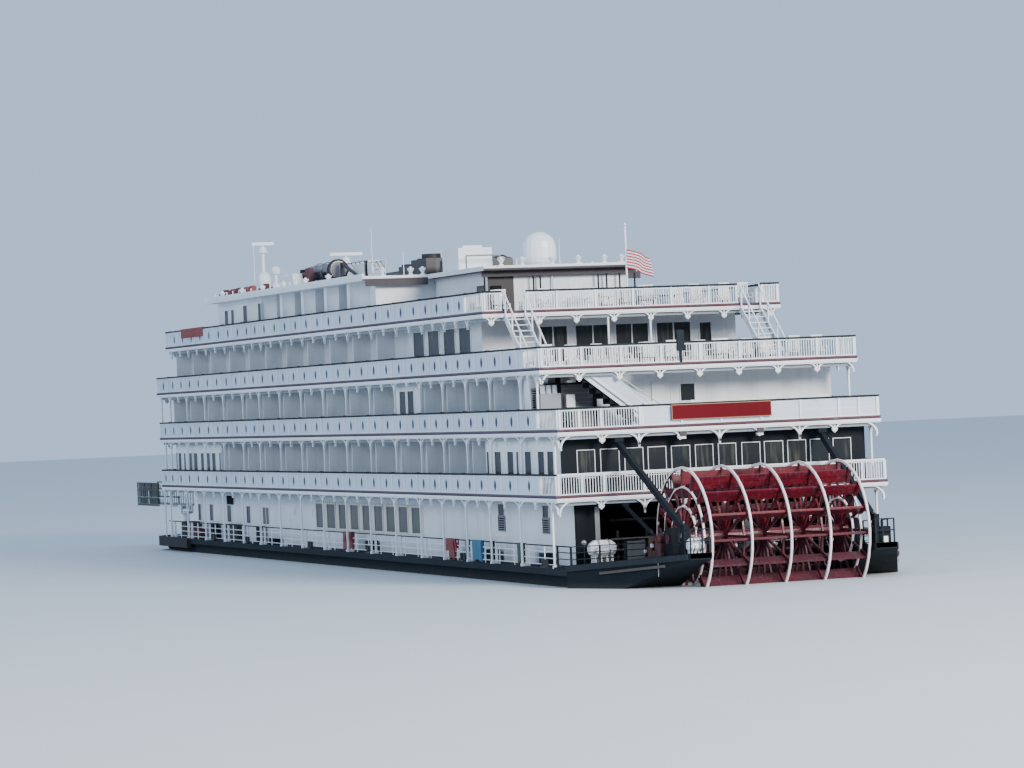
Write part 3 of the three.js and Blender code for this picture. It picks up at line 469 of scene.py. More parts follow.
class Shape:
    """One piece in the making: points in real metres, and faces with their finishes."""

    def __init__(self) -> None:
        """Starts empty."""
        self.points: list[Array] = []
        self.faces: list[tuple[Array, Paint]] = []
        self.count = 0

    def add(self, points: Array, faces: Array, paint: Paint) -> None:
        """Adds points and the faces between them.

        Args:
            points: one row each.
            faces: rows of corners, all with the same number of corners.
            paint: their finish.
        """
        self.points.append(points.reshape(-1, 3))
        self.faces.append((faces + self.count, paint))
        self.count += len(self.points[-1])

    def boxes(self, low: Array, high: Array, paint: Paint) -> None:
        """Boxes from their lowest to their highest corners, one row each."""
        low, high = matched(low, high)
        self.cells(low[:, None] + BOX_CORNERS * (high - low)[:, None], paint)

    def cells(self, corners: Array, paint: Paint) -> None:
        """Boxes by their eight corners each, in the order of BOX_CORNERS.

        Args:
            corners: eight points for each box.
            paint: their finish.
        """
        points = corners.reshape(-1, 3)
        steps = np.arange(len(points) // 8)[:, None, None] * 8
        self.add(points, (BOX_FACES + steps).reshape(-1, 4), paint)

    def box(self, x0: float, x1: float, y0: float, y1: float, z0: float, z1: float, paint: Paint) -> None:
        """One box."""
        self.boxes(np.array([[x0, y0, z0]]), np.array([[x1, y1, z1]]), paint)

    def beams(self, start: Array, end: Array, width: float, depth: float, paint: Paint) -> None:
        """Square bars between points: a box whose long side runs from start to end.

        Args:
            start: one row for each bar.
            end: the other ends.
            width: across, level.
            depth: across the other way.
            paint: the finish.
        """
        start, end = matched(start, end)
        along = end - start
        level = np.cross([0.0, 0.0, 1.0], along)
        flat = np.linalg.norm(level, axis=1, keepdims=True)
        level = np.where(flat > 1e-6, level / np.maximum(flat, 1e-6), [0.0, 1.0, 0.0])
        upward = np.cross(along, level)
        upward /= np.linalg.norm(upward, axis=1, keepdims=True)
        a, b, c = BOX_CORNERS.T
        points = (
            start[:, None]
            + a[None, :, None] * along[:, None]
            + (b - 0.5)[None, :, None] * level[:, None] * width
            + (c - 0.5)[None, :, None] * upward[:, None] * depth
        )
        self.cells(points, paint)

    def closed(self, points: Array, paint: Paint) -> None:
        """Walls between two rings of corners, and a flat cap on each ring.

        Args:
            points: the corners of the first ring and then of the second, for each copy.
            paint: their finish.
        """
        m = points.shape[1] // 2
        i = np.arange(m)
        j = (i + 1) % m
        steps = np.arange(len(points))[:, None, None] * (2 * m)
        walls = np.stack([i, j, j + m, i + m], axis=1)
        self.add(points, (walls + steps).reshape(-1, 4), paint)
        base = self.count - len(points) * 2 * m
        caps = np.stack([i[::-1], i + m])
        self.faces.append(((caps + steps).reshape(-1, m) + base, paint))

    def bars(
        self, start: Array, end: Array, radius: float, paint: Paint, sides: int = 8, tip: float | None = None
    ) -> None:
        """Round bars: a circle carried from start to end, closed by a flat face at each end.

        Args:
            start: one row for each bar.
            end: the other ends.
            radius: at the start.
            paint: the finish.
            sides: corners of the circle.
            tip: the radius at the end, if it differs.
        """
        start, end = matched(start, end)
        along = end - start
        along = along / np.linalg.norm(along, axis=1, keepdims=True)
        helper = np.where(np.abs(along[:, 2:]) < 0.9, [0.0, 0.0, 1.0], [1.0, 0.0, 0.0])
        u = np.cross(helper, along)
        u /= np.linalg.norm(u, axis=1, keepdims=True)
        v = np.cross(along, u)
        t = turns(sides)
        circle = np.cos(t)[None, :, None] * u[:, None] + np.sin(t)[None, :, None] * v[:, None]
        last = radius if tip is None else tip
        points = np.concatenate([start[:, None] + circle * radius, end[:, None] + circle * last], axis=1)
        self.closed(points, paint)

    def hoop(self, points: Array, radius: float, paint: Paint, sides: int = 6) -> None:
        """A closed ring of round bars through its points."""
        self.bars(points, np.roll(points, -1, axis=0), radius, paint, sides)

    def prisms(
        self, outline: Array, origin: Array, u: Numbers, v: Numbers, depth: float, paint: Paint
    ) -> None:
        """One flat outline repeated and given a thickness.

        Args:
            outline: rows of across and up, anticlockwise.
            origin: where its zero lies, one row for each copy, in the middle of the thickness.
            u: the direction across.
            v: the direction up.
            depth: the thickness.
            paint: the finish.
        """
        u, v = np.asarray(u, float), np.asarray(v, float)
        normal = np.cross(u, v)
        flat = outline[:, :1] * u + outline[:, 1:] * v
        sheet = np.concatenate([flat - normal * depth / 2, flat + normal * depth / 2])
        self.closed(np.atleast_2d(origin)[:, None] + sheet[None], paint)

    def turned(self, profile: Array, centre: Array, paint: Paint, sides: int = 20) -> None:
        """A profile of radius and height swept round upright lines, with its ends on the line.

        Args:
            profile: rows of radius and height, from the bottom up.
            centre: where the lines stand, one row each.
            paint: the finish.
            sides: corners of the sweep.
        """
        t = turns(sides)
        r, z = profile.T
        ring = rows(r[:, None] * np.cos(t), r[:, None] * np.sin(t), z[:, None])
        points = np.atleast_2d(centre)[:, None] + ring[None]
        k, i = np.meshgrid(np.arange(len(r) - 1), np.arange(sides), indexing="ij")
        j = (i + 1) % sides
        faces = np.stack([k * sides + i, k * sides + j, (k + 1) * sides + j, (k + 1) * sides + i], axis=-1)
        steps = np.arange(len(points))[:, None, None] * (len(r) * sides)
        self.add(points, (faces.reshape(-1, 4) + steps).reshape(-1, 4), paint)

    def mirrored(self) -> None:
        """Adds a copy of all so far on the other side of the centreline."""
        points = np.concatenate(self.points)
        count = self.count
        flipped = [(faces[:, ::-1] + count, paint) for faces, paint in self.faces]
        self.points.append(points * [1, -1, 1])
        self.faces += flipped
        self.count += count

    def build(
        self, name: str, body: str = "boat", replaces: Sequence[str] = (), slot: str = ""
    ) -> bpy.types.Object:
        """Makes the piece, at the origin, with its place in its mesh.

        Args:
            name: the piece's name.
            body: the body that it rides on.
            replaces: CAD nodes that it stands for.
            slot: not used.
        Returns:
            The object.
        """
        paints = list(dict.fromkeys(paint for _, paint in self.faces))
        mesh = bpy.data.meshes.new(name)
        points = (np.concatenate(self.points) - ORIGIN) * SCALE
        loops = np.concatenate([faces.ravel() for faces, _ in self.faces]).astype(np.int32)
        sizes = np.concatenate([np.full(len(faces), faces.shape[1]) for faces, _ in self.faces])
        index = np.concatenate([np.full(len(faces), paints.index(p)) for faces, p in self.faces])
        mesh.vertices.add(len(points))
        mesh.vertices.foreach_set("co", points.astype(np.float32).ravel())
        mesh.loops.add(len(loops))
        mesh.loops.foreach_set("vertex_index", loops)
        mesh.polygons.add(len(sizes))
        mesh.polygons.foreach_set("loop_start", np.concatenate([[0], np.cumsum(sizes)[:-1]]).astype(np.int32))
        mesh.polygons.foreach_set("material_index", index.astype(np.int32))
        mesh.polygons.foreach_set("use_smooth", np.ones(len(sizes), bool))
        for paint in paints:
            mesh.materials.append(paint.material())
        mesh.update(calc_edges=True)
        mesh.validate()
        mesh.set_sharp_from_angle(angle=math.radians(32))
        made = link(name, mesh)
        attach(made, body)
        if replaces:
            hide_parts(*replaces)
        LOG.info("%s: %d corners, %d faces", name, len(points), len(sizes))
        return made


# Sizes of the boat


ALONG, ACROSS, UP = np.eye(3)
PLATE = 0.14


@dataclass(frozen=True)
class Deck:
    """One deck plate's top, half beam, and aft and forward edges."""

    top: float
    half: float
    aft: float
    fore: float

    @property
    def under(self) -> float:
        """Underside of the plate."""
        return self.top - PLATE


DECKS = {
    "one": Deck(0.85, 8.4, -0.75, 75.3),
    "two": Deck(4.15, 8.45, 0.0, 72.4),
    "three": Deck(7.2, 8.25, 0.05, 73.2),
    "four": Deck(10.12, 8.2, 2.24, 73.75),
    "five": Deck(13.05, 7.97, 10.43, 71.9),
}
POSTS = np.array([
    70.88, 66.73, 62.48, 58.09, 53.75, 50.13, 45.83, 41.55, 37.24, 32.98, 28.72, 24.4, 20.22, 16.66, 13.11,
    9.6, 5.33,
])
ROOF_TOP = 15.75


class Infill(Enum):
    """What stands between the posts of a rail."""

    BOARDS = "boards with a lancet slot"
    PICKETS = "open pickets"
    PANELS = "plain boards"


class Run:
    """A straight run of rail: a frame of its own, with places along it, heights, and distances out."""

    def __init__(self, shape: Shape, start: Numbers, end: Numbers, out: int) -> None:
        """Sets the frame.

        Args:
            shape: where its boxes go.
            start: its first point on the deck.
            end: its last point.
            out: +1 where the outside lies to the left of the run, or else -1.
        """
        self.shape, self.start = shape, np.asarray(start, float)
        along = np.asarray(end, float) - self.start
        self.length = float(np.linalg.norm(along))
        self.u = along / self.length
        self.side = np.array([-self.u[1], self.u[0], 0.0]) * out

    def slabs(self, u0: Any, u1: Any, z: Pair, s: Pair, paint: Paint) -> None:
        """Boxes on the run.

        Args:
            u0: places where they begin.
            u1: places where they end.
            z: their lowest and highest height.
            s: their distances out, inner and outer.
            paint: their finish.
        """
        u0, u1 = np.broadcast_arrays(np.atleast_1d(u0), np.atleast_1d(u1))
        low = self.start + self.u * u0[:, None] + UP * z[0] + self.side * s[0]
        high = self.start + self.u * u1[:, None] + UP * z[1] + self.side * s[1]
        self.shape.boxes(np.minimum(low, high), np.maximum(low, high), paint)


@dataclass
class Railing:
    """A deck's guard rail: boarded sides and bow with lancet slots, and open pickets at the stern.

    The rail's line lies inset from the deck's edge. Heights are over the deck's top.
    """

    name: str
    open_to: float = 0.0
    gate: Pair | None = None
    panels_from: float | None = None
    inset: float = 0.08
    height: float = 1.06
    foot: float = 0.13
    picket: float = 0.034
    pitch: Pair = (0.19, 0.13)
    board: float = 0.3
    lancet: Pair = (0.145, 0.27)
    stern_cap: Paint = CAP
    stern_posts: tuple[float, ...] = (7.15, 6.05, 4.05, 2.0, 0.0, -2.05, -4.1, -6.1, -7.15)

    @property
    def deck(self) -> Deck:
        """The deck that it stands on."""
        return DECKS[self.name]

    def frame(self, run: Run, posts: Array, cap: Paint) -> tuple[Array, Array]:
        """Cap, rail and sill along a run, and its posts.

        Args:
            run: the run.
            posts: distances of the posts from its start.
            cap: the finish of its cap.
        Returns:
            Where the fields between the posts begin and end.
        """
        h = self.height
        run.slabs(0.0, run.length, (h - 0.06, h + 0.025), (-0.06, 0.095), cap)
        run.slabs(0.0, run.length, (h - 0.13, h - 0.06), (-0.03, 0.04), RAIL)
        run.slabs(0.0, run.length, (0.095, 0.155), (-0.03, 0.05), RAIL)
        run.slabs(posts - 0.055, posts + 0.055, (0.0, h - 0.02), (-0.05, 0.075), RAIL)
        edges = np.unique(np.concatenate([[0.0], posts, [run.length]]))
        low, high = edges[:-1], edges[1:]
        keep = high - low > 0.3
        return low[keep], high[keep]

    def pickets(self, run: Run, low: Array, high: Array) -> None:
        """Open pickets in each field, closer together across the boat than along it.

        Args:
            run: the run.
            low: where the fields begin.
            high: where they end.
        """
        pitch = self.pitch[int(abs(run.u[1]) > 0.5)]
        counts = [max(3, round((b - a) / pitch)) + 1 for a, b in zip(low, high)]
        places = np.concatenate([np.linspace(a, b, n)[1:-1] for a, b, n in zip(low, high, counts)])
        half = self.picket / 2
        run.slabs(places - half, places + half, (self.foot, self.height - 0.14), (-0.01, 0.012), RAIL)

    def panels(self, run: Run, low: Array, high: Array) -> None:
        """One plain board in each field, with a moulding at half height."""
        # plain boards in a darker, bluer white: painted shade
        run.slabs(low + 0.055, high - 0.055, (self.foot, self.height - 0.14), (-0.02, 0.01), SHADED_PANEL)
        run.slabs(low + 0.055, high - 0.055, (0.5, 0.53), (0.01, 0.02), RAIL)

    def boards(self, run: Run, low: Array, high: Array) -> None:
        """Upright boards in each field, and a lancet slot in the middle of each wide one.

        A lancet is the lens between x = +-0.145 (1 - (z / 0.27) squared) about its middle.

        Args:
            run: the run.
            low: where the fields begin.
            high: where they end.
        """
        counts = [max(2, round((b - a) / self.board)) + 1 for a, b in zip(low, high)]
        each = [np.linspace(a + 0.055, b - 0.055, n) for a, b, n in zip(low, high, counts)]
        starts, ends = (np.concatenate([e[cut] for e in each]) for cut in (slice(None, -1), slice(1, None)))
        # boards in a darker, bluer white: painted shade
        run.slabs(starts + 0.005, ends - 0.005, (self.foot, self.height - 0.14), (-0.02, 0.01), SHADED_PANEL)
        wide = high - low > 1.0
        half, reach = self.lancet
        z = np.linspace(-reach, reach, 9)
        bulge = half * (1 - (z / reach) ** 2)
        lens = np.concatenate([np.stack([bulge, z], axis=1), np.stack([-bulge, z], axis=1)[-2:0:-1]])
        middles = ((low + high) / 2)[wide]
        if len(middles):
            places = run.start + run.u * middles[:, None] + UP * 0.52 - run.side * 0.005
            run.shape.prisms(lens, places, run.u, UP, 0.045, NAVY)

    def run(self, run: Run, posts: Array, infill: Infill, cap: Paint = CAP) -> None:
        """One straight run, with its frame and what stands between its posts.

        Args:
            run: the run.
            posts: distances of the posts from its start.
            infill: what stands between the posts.
            cap: the finish of its cap.
        """
        low, high = self.frame(run, posts, cap)
        fill = {Infill.PICKETS: self.pickets, Infill.PANELS: self.panels, Infill.BOARDS: self.boards}
        fill[infill](run, low, high)

    def edging(self, shape: Shape) -> None:
        """Fascia, dark line and toe board right round the deck's edge: the ends stop inside the sides.

        Args:
            shape: where they go.
        """
        deck = self.deck
        x0, x1, y = deck.aft + self.inset, deck.fore - self.inset, deck.half - self.inset
        for low, high, a, b, side, end in (
            (-0.17, -0.045, 0.081, 0.1, TRIM, TRIM),
            (-0.045, 0.0, 0.081, 0.094, WINE, WINE),
            (0.0, 0.095, 0.03, 0.088, TOE_SIDE, TOE),
        ):
            z0, z1 = deck.top + low, deck.top + high
            for s in (1, -1):
                ys = sorted((s * (y + a), s * (y + b)))
                shape.box(x0 - b, x1 + b, *ys, z0, z1, side)
            shape.box(x0 - b, x0 - a, -y - a, y + a, z0, z1, end)
            shape.box(x1 + a, x1 + b, -y - a, y + a, z0, z1, end)

    def build(self) -> None:
        """Builds the whole rail and lets it stand for the plain one."""
        deck, shape = self.deck, Shape()
        x0, x1, y = deck.aft + self.inset, deck.fore - self.inset, deck.half - self.inset
        z = deck.top
        bays = np.sort(POSTS[(POSTS > x0 + 0.6) & (POSTS < x1 - 0.6)])
        posts = np.sort(np.concatenate([bays, (bays[:-1] + bays[1:]) / 2]))
        split = max(self.open_to, x0)
        self.edging(shape)
        for s in (1, -1):
            at = np.concatenate([[0.06], posts[posts > split + 0.3] - split, [x1 - split - 0.06]])
            self.run(Run(shape, (split, s * y, z), (x1, s * y, z), s), at, Infill.BOARDS)
            knobs = rows(bays, s * y, z + self.height)
            shape.boxes(knobs - [0.09, 0.07, 0.0], knobs + [0.09, 0.07, 0.045], CAP)
            if split > x0:
                near = np.concatenate([[0.06], posts[posts < split - 0.3] - x0])
                self.run(Run(shape, (x0, s * y, z), (split, s * y, z), s), near, Infill.PICKETS)
        across = np.linspace(0.06, 2 * y - 0.06, 9)
        self.run(Run(shape, (x1, -y, z), (x1, y, z), -1), across, Infill.BOARDS)
        spans = [(-y, y, Infill.PICKETS)]
        if self.gate is not None:
            low, high = self.gate
            spans = [(-y, -high, Infill.PICKETS), (-low, low, Infill.PICKETS), (high, y, Infill.PICKETS)]
        elif self.panels_from is not None:
            spans = [(-y, self.panels_from, Infill.PANELS), (self.panels_from, y, Infill.PICKETS)]
        for a, b, infill in spans:
            inner = np.sort([v - a for v in self.stern_posts if a + 0.4 < v < b - 0.4])
            at = np.concatenate([[0.06], inner, [b - a - 0.06]])
            self.run(Run(shape, (x0, a, z), (x0, b, z), 1), at, infill, self.stern_cap)
        nodes = ["railing_" + self.name] + (["railing_five_stern"] if self.name == "five" else [])
        shape.build("rail_" + self.name, replaces=nodes, slot="rail_paint")


def arch_leg(reach: float, drop: float, thick: float, tip: float = 0.04, steps: int = 9) -> Array:
    """One curved leg of a bracket: a band along a quarter of an ellipse, from the beam to the tip.

    The outer line is (reach * (1 - sin t) + tip, -drop * (1 - cos t)) for t from 0 to a quarter
    turn; the inner line lies thick away from it, towards the beam and the middle.

    Args:
        reach: from the middle to where it meets the beam.
        drop: from the beam to the tip.
        thick: the band's width.
        tip: half the width of the tip.
        steps: points along it.
    Returns:
        The outline, anticlockwise.
    """
    t = np.linspace(0, math.pi / 2, steps)
    outer = np.stack([reach * (1 - np.sin(t)) + tip, -drop * (1 - np.cos(t))], axis=1)
    inner = outer + thick * np.stack([-np.sin(t), np.cos(t)], axis=1)
    inner[0] = (reach + tip, thick)
    return np.concatenate([inner, outer[::-1]])[::-1]


class Hanging(Enum):
    """What hangs from an edge beam: reach, drop, width of its legs and half width of its tip."""

    BRACKET = (0.55, 0.55, 0.055, 0.05)
    SPREAD = (0.85, 0.45, 0.055, 0.05)
    WEDGE = (0.42, 0.44, 0.05, 0.025)
    CORNER = (1.2, 0.55, 0.065, 0.03)
    DROP = (0.26, 0.24, 0.07, 0.05)
    PENDANT = (0.42, 0.26, 0.075, 0.1)
    ORNATE = (0.66, 0.55, 0.075, 0.03)


def stem_outline(kind: Hanging, drop: float) -> Array:
    """The flat stem between a hanging's two legs.

    Args:
        kind: what hangs.
        drop: its height.
    Returns:
        The outline, anticlockwise, with the beam's underside at height 0.
    """
    if kind is Hanging.DROP:
        return np.array([[-0.06, -drop - 0.12], [0.06, -drop - 0.12], [0.075, 0.02], [-0.075, 0.02]])
    if kind is Hanging.WEDGE:
        right = [[0.03, -drop - 0.05], [0.085, -drop * 0.5]]
        return np.array([[-0.03, -drop - 0.05], *right, [0.0, -drop * 0.36], [-0.085, -drop * 0.5]])
    if kind is Hanging.PENDANT:
        right = [[0.1, -drop - 0.08], [0.16, -drop + 0.04], [0.03, -drop + 0.07], [0.03, 0.02]]
        left = [[-x, z] for x, z in right[::-1]]
        return np.array([left[-1], *right, *left[:-1]])
    right = [[0.08, -drop * 0.55], [0.035, -drop * 0.2], [0.03, 0.02]]
    return np.array([[0.0, -drop], *right, *[[-x, z] for x, z in right[::-1]]])


BALL = np.array([[0.0, -0.07], [0.045, -0.05], [0.06, 0.0], [0.045, 0.05], [0.0, 0.07]])


@dataclass
class Gallery:
    """The edge beam under a deck, with its brackets, drops and pendants, and the posts below.

    The posts stand on the deck that the gallery is named for, and foot is its top.
    """

    name: str
    deck: str
    foot: float | None
    posts: Array
    stern: list[tuple[float, Hanging]]
    side: Hanging = Hanging.BRACKET
    depth: float = 0.09
    web: float = 0.16
    web_back: float = 0.17
    width: float = 0.3
    line: float = 0.12
    post: float = 0.042
    edge: float = 0.02

    @property
    def top(self) -> float:
        """Top of the beam, against the deck's underside."""
        return DECKS[self.deck].under

    @property
    def under(self) -> float:
        """Underside of the beam."""
        return self.top - self.depth

    def plan(self, inset: float) -> Triple:
        """Aft edge, forward edge and half width, a distance inside the deck's edge."""
        deck = DECKS[self.deck]
        return deck.aft + inset, deck.fore - inset, deck.half - inset

    def hang(self, shape: Shape, kind: Hanging, places: Array, u: Array, legs: int = 0) -> None:
        """Hangs one kind at all its places: two curved legs, a stem between them and a ball below.

        Args:
            shape: where it goes.
            kind: what hangs.
            places: points on the beam's underside.
            u: the direction along the beam.
            legs: 0 for both legs, or else the sign of the only one.
        """
        reach, drop, width, tip = kind.value
        thick = 0.11
        right = arch_leg(reach, drop, width, tip)
        left = (right * [-1, 1])[::-1]
        for outline in {0: (right, left), 1: (right,), -1: (left,)}[legs]:
            shape.prisms(outline, places, u, UP, thick, TRIM)
        if legs == 0:
            shape.prisms(stem_outline(kind, drop), places, u, UP, thick * 0.8, TRIM)
        below = {Hanging.PENDANT: 0.09, Hanging.ORNATE: 0.06}.get(kind)
        if below is not None:
            shape.turned(BALL, places - UP * (drop + below), TRIM, 8)

    def beams(self, shape: Shape) -> None:
        """The beam's four sides with a moulding on their faces, and a deeper web set back behind them in
        painted shade.

        Args:
            shape: where they go.
        """
        z0, z1, web_inset = self.under, self.top, self.edge + self.web_back
        for inset, t, low, high, paint in (
            (self.edge, self.width, z0, z1, TRIM),
            # the web, in grey-blue painted shade
            (web_inset, self.width - self.web_back, z0 - self.web, z0, WEB_SHADE),
        ):
            x0, x1, y = self.plan(inset)
            lows = [[x0, y - t, low], [x0, -y, low], [x0, t - y, low], [x1 - t, t - y, low]]
            highs = [[x1, y, high], [x1, t - y, high], [x0 + t, y - t, high], [x1, y - t, high]]
            shape.boxes(np.array(lows), np.array(highs), paint)
        x0, x1, y = self.plan(self.edge)
        proud = 0.014
        for a, b in ((z0, z0 + 0.025), (z1 - 0.025, z1)):
            shape.boxes(rows(x0, [y, -y - proud], a), rows(x1, [y + proud, -y], b), TRIM)
            shape.boxes(rows([x0 - proud, x1], -y, a), rows([x0, x1 + proud], y, b), TRIM)

    def side_posts(self, shape: Shape, px: Array, py: Array) -> None:
        """Thin posts under the side brackets, each with a foot.

        Args:
            shape: where they go.
            px: places along the boat.
            py: places across it.
        """
        if self.foot is None:
            return
        feet = rows(px, py, self.foot)
        h, high = self.post, self.under - self.foot
        shape.boxes(feet - [h, h, 0.0], feet + [h, h, high], TRIM)
        shape.boxes(feet - [0.09, 0.07, 0.0], feet + [0.09, 0.07, 0.12], TRIM)

    def corners(self, shape: Shape) -> None:
        """One leg each way at the stern's corners, and a post at each of the bow's.

        Args:
            shape: where they go.
        """
        if self.foot is None:
            return
        x0, x1, y = self.plan(self.edge)
        low = self.name == "three"
        stern_leg, side_leg = (Hanging.PENDANT, Hanging.SPREAD) if low else (Hanging.ORNATE, Hanging.CORNER)
        h, high = self.post, self.under - self.foot
        fore = min(x1 - self.line, DECKS[self.name].fore - 0.12)
        for s in (1, -1):
            self.hang(shape, stern_leg, rows(x0 + self.line, s * (y - 0.16), self.under), ACROSS, -s)
            self.hang(shape, side_leg, rows(x0 + 0.16, s * (y - self.line), self.under), ALONG, 1)
            feet = rows(fore, s * (y - self.line), [self.foot])
            shape.boxes(feet - [h, h, 0.0], feet + [h, h, high], TRIM)

    def build(self) -> None:
        """Builds the beam and all that hangs from it."""
        shape, z = Shape(), self.under
        x0, x1, y = self.plan(self.edge)
        self.beams(shape)
        lines = np.array([y - self.line, self.line - y])
        px, py = (a.ravel() for a in np.meshgrid(self.posts, lines))
        self.hang(shape, self.side, rows(px, py, z), ALONG)
        ends = np.sort(self.posts)
        dx, dy = (a.ravel() for a in np.meshgrid((ends[:-1] + ends[1:]) / 2, lines))
        self.hang(shape, Hanging.DROP, rows(dx, dy, z), ALONG)
        self.side_posts(shape, px, py)
        for kind in Hanging:
            at = np.array([place for place, hung in self.stern if hung is kind])
            if len(at):
                self.hang(shape, kind, rows(x0 + self.line, at, z), ACROSS)
        self.corners(shape)
        bow = np.linspace(0.6 - y, y - 0.6, 9)
        self.hang(shape, Hanging.PENDANT, rows(x1 - self.line, bow, z), ACROSS)
        shape.build("trim_" + self.name, replaces=["gallery_" + self.name], slot="rail_paint")


class Wall(Enum):
    """Which way a wall faces: its outward direction in plan."""

    PORT = (0.0, 1.0)
    STERN = (-1.0, 0.0)
    BOW = (1.0, 0.0)


@dataclass
class Windows:
    """Windows and doors on one flat wall: a frame that stands out with glass set into it."""

    wall: Wall
    plane: float
    low: float
    high: float
    spans: Sequence[Pair]
    panes: int = 1
    frame_width: float = 0.06
    frame_paint: Paint = TRIM
    glass: Paint = GLASS
    proud: float = 0.05

    def place(self, across: Array | float, out: Array | float, z: Array | float) -> Array:
        """Points on the wall.

        Args:
            across: places along it.
            out: distances out from it.
            z: heights.
        Returns:
            One row for each point.
        """
        nx, ny = self.wall.value
        if ny:
            return rows(across, ny * (self.plane + out), z)
        return rows(self.plane + nx * out, across, z)

    def slab(self, shape: Shape, a0: Any, a1: Any, out: float, z0: float, z1: float, paint: Paint) -> None:
        """Boxes on the wall."""
        corners = self.place(np.atleast_1d(a0), 0.0, z0), self.place(np.atleast_1d(a1), out, z1)
        shape.boxes(np.minimum(*corners), np.maximum(*corners), paint)

    def add(self, shape: Shape) -> None:
        """Adds every window of the wall.

        Args:
            shape: where they go.
        """
        spans = np.sort(np.array(self.spans, float), axis=1)
        a, b = spans.T
        w, low, high, out, paint = self.frame_width, self.low, self.high, self.proud, self.frame_paint
        self.slab(shape, a, b, 0.018, low, high, self.glass)
        for a0, a1, z0, z1 in (
            (a - w, a, low - w, high + w), (b, b + w, low - w, high + w),
            (a, b, low - w, low), (a, b, high, high + w),
        ):
            self.slab(shape, a0, a1, out, z0, z1, paint)
        for k in range(1, self.panes):
            middle = a + (b - a) * k / self.panes
            self.slab(shape, middle - 0.03, middle + 0.03, out * 0.8, low, high, paint)


def spans_at(centres: Numbers | Array, width: float) -> list[Pair]:
    """Openings of one width about their centres."""
    return [(c - width / 2, c + width / 2) for c in centres]


STERN_WINDOWS_TWO = [
    (6.98, 6.13), (5.81, 4.91), (4.6, 3.7), (3.42, 2.54), (2.23, 1.32), (1.01, 0.14), (-0.17, -1.04),
    (-1.37, -2.28), (-2.54, -3.47), (-3.75, -4.67), (-4.93, -5.87), (-6.13, -7.03),
]
LOUNGE_WINDOWS_ONE = [
    (42.15, 40.86), (40.07, 38.53), (37.79, 36.35), (35.62, 34.2), (33.39, 32.01), (31.31, 29.89),
    (29.18, 27.73), (27.05, 25.6), (24.86, 23.38),
]
CABIN_WINDOWS_ONE = [(68.13, 67.46), (65.35, 64.52), (61.23, 60.31), (56.85, 55.98)]
VENTS_ONE = [(10.57, 11.42), (4.4, 5.2)]
FORE_WINDOWS_TWO = [
    (70.8, 70.51), (70.22, 69.53), (68.87, 68.44), (67.64, 66.88), (66.46, 65.56), (64.73, 64.01),
    (63.41, 62.54), (62.1, 61.24), (60.38, 60.05),
]
SIDE_WINDOWS_TWO = [
    (11.07, 10.76), (9.93, 9.04), (8.12, 7.27), (6.87, 6.57), (5.68, 4.83), (3.9, 3.06), (2.66, 1.83),
]
SIDE_WINDOWS_FOUR = [(22.6, 24.3), (20.2, 21.9), (17.7, 19.4), (15.3, 17.0)]
STERN_WINDOWS_FOUR = [(3.86, 2.36), (1.88, 0.04), (-0.29, -2.03), (-2.52, -4.36)]


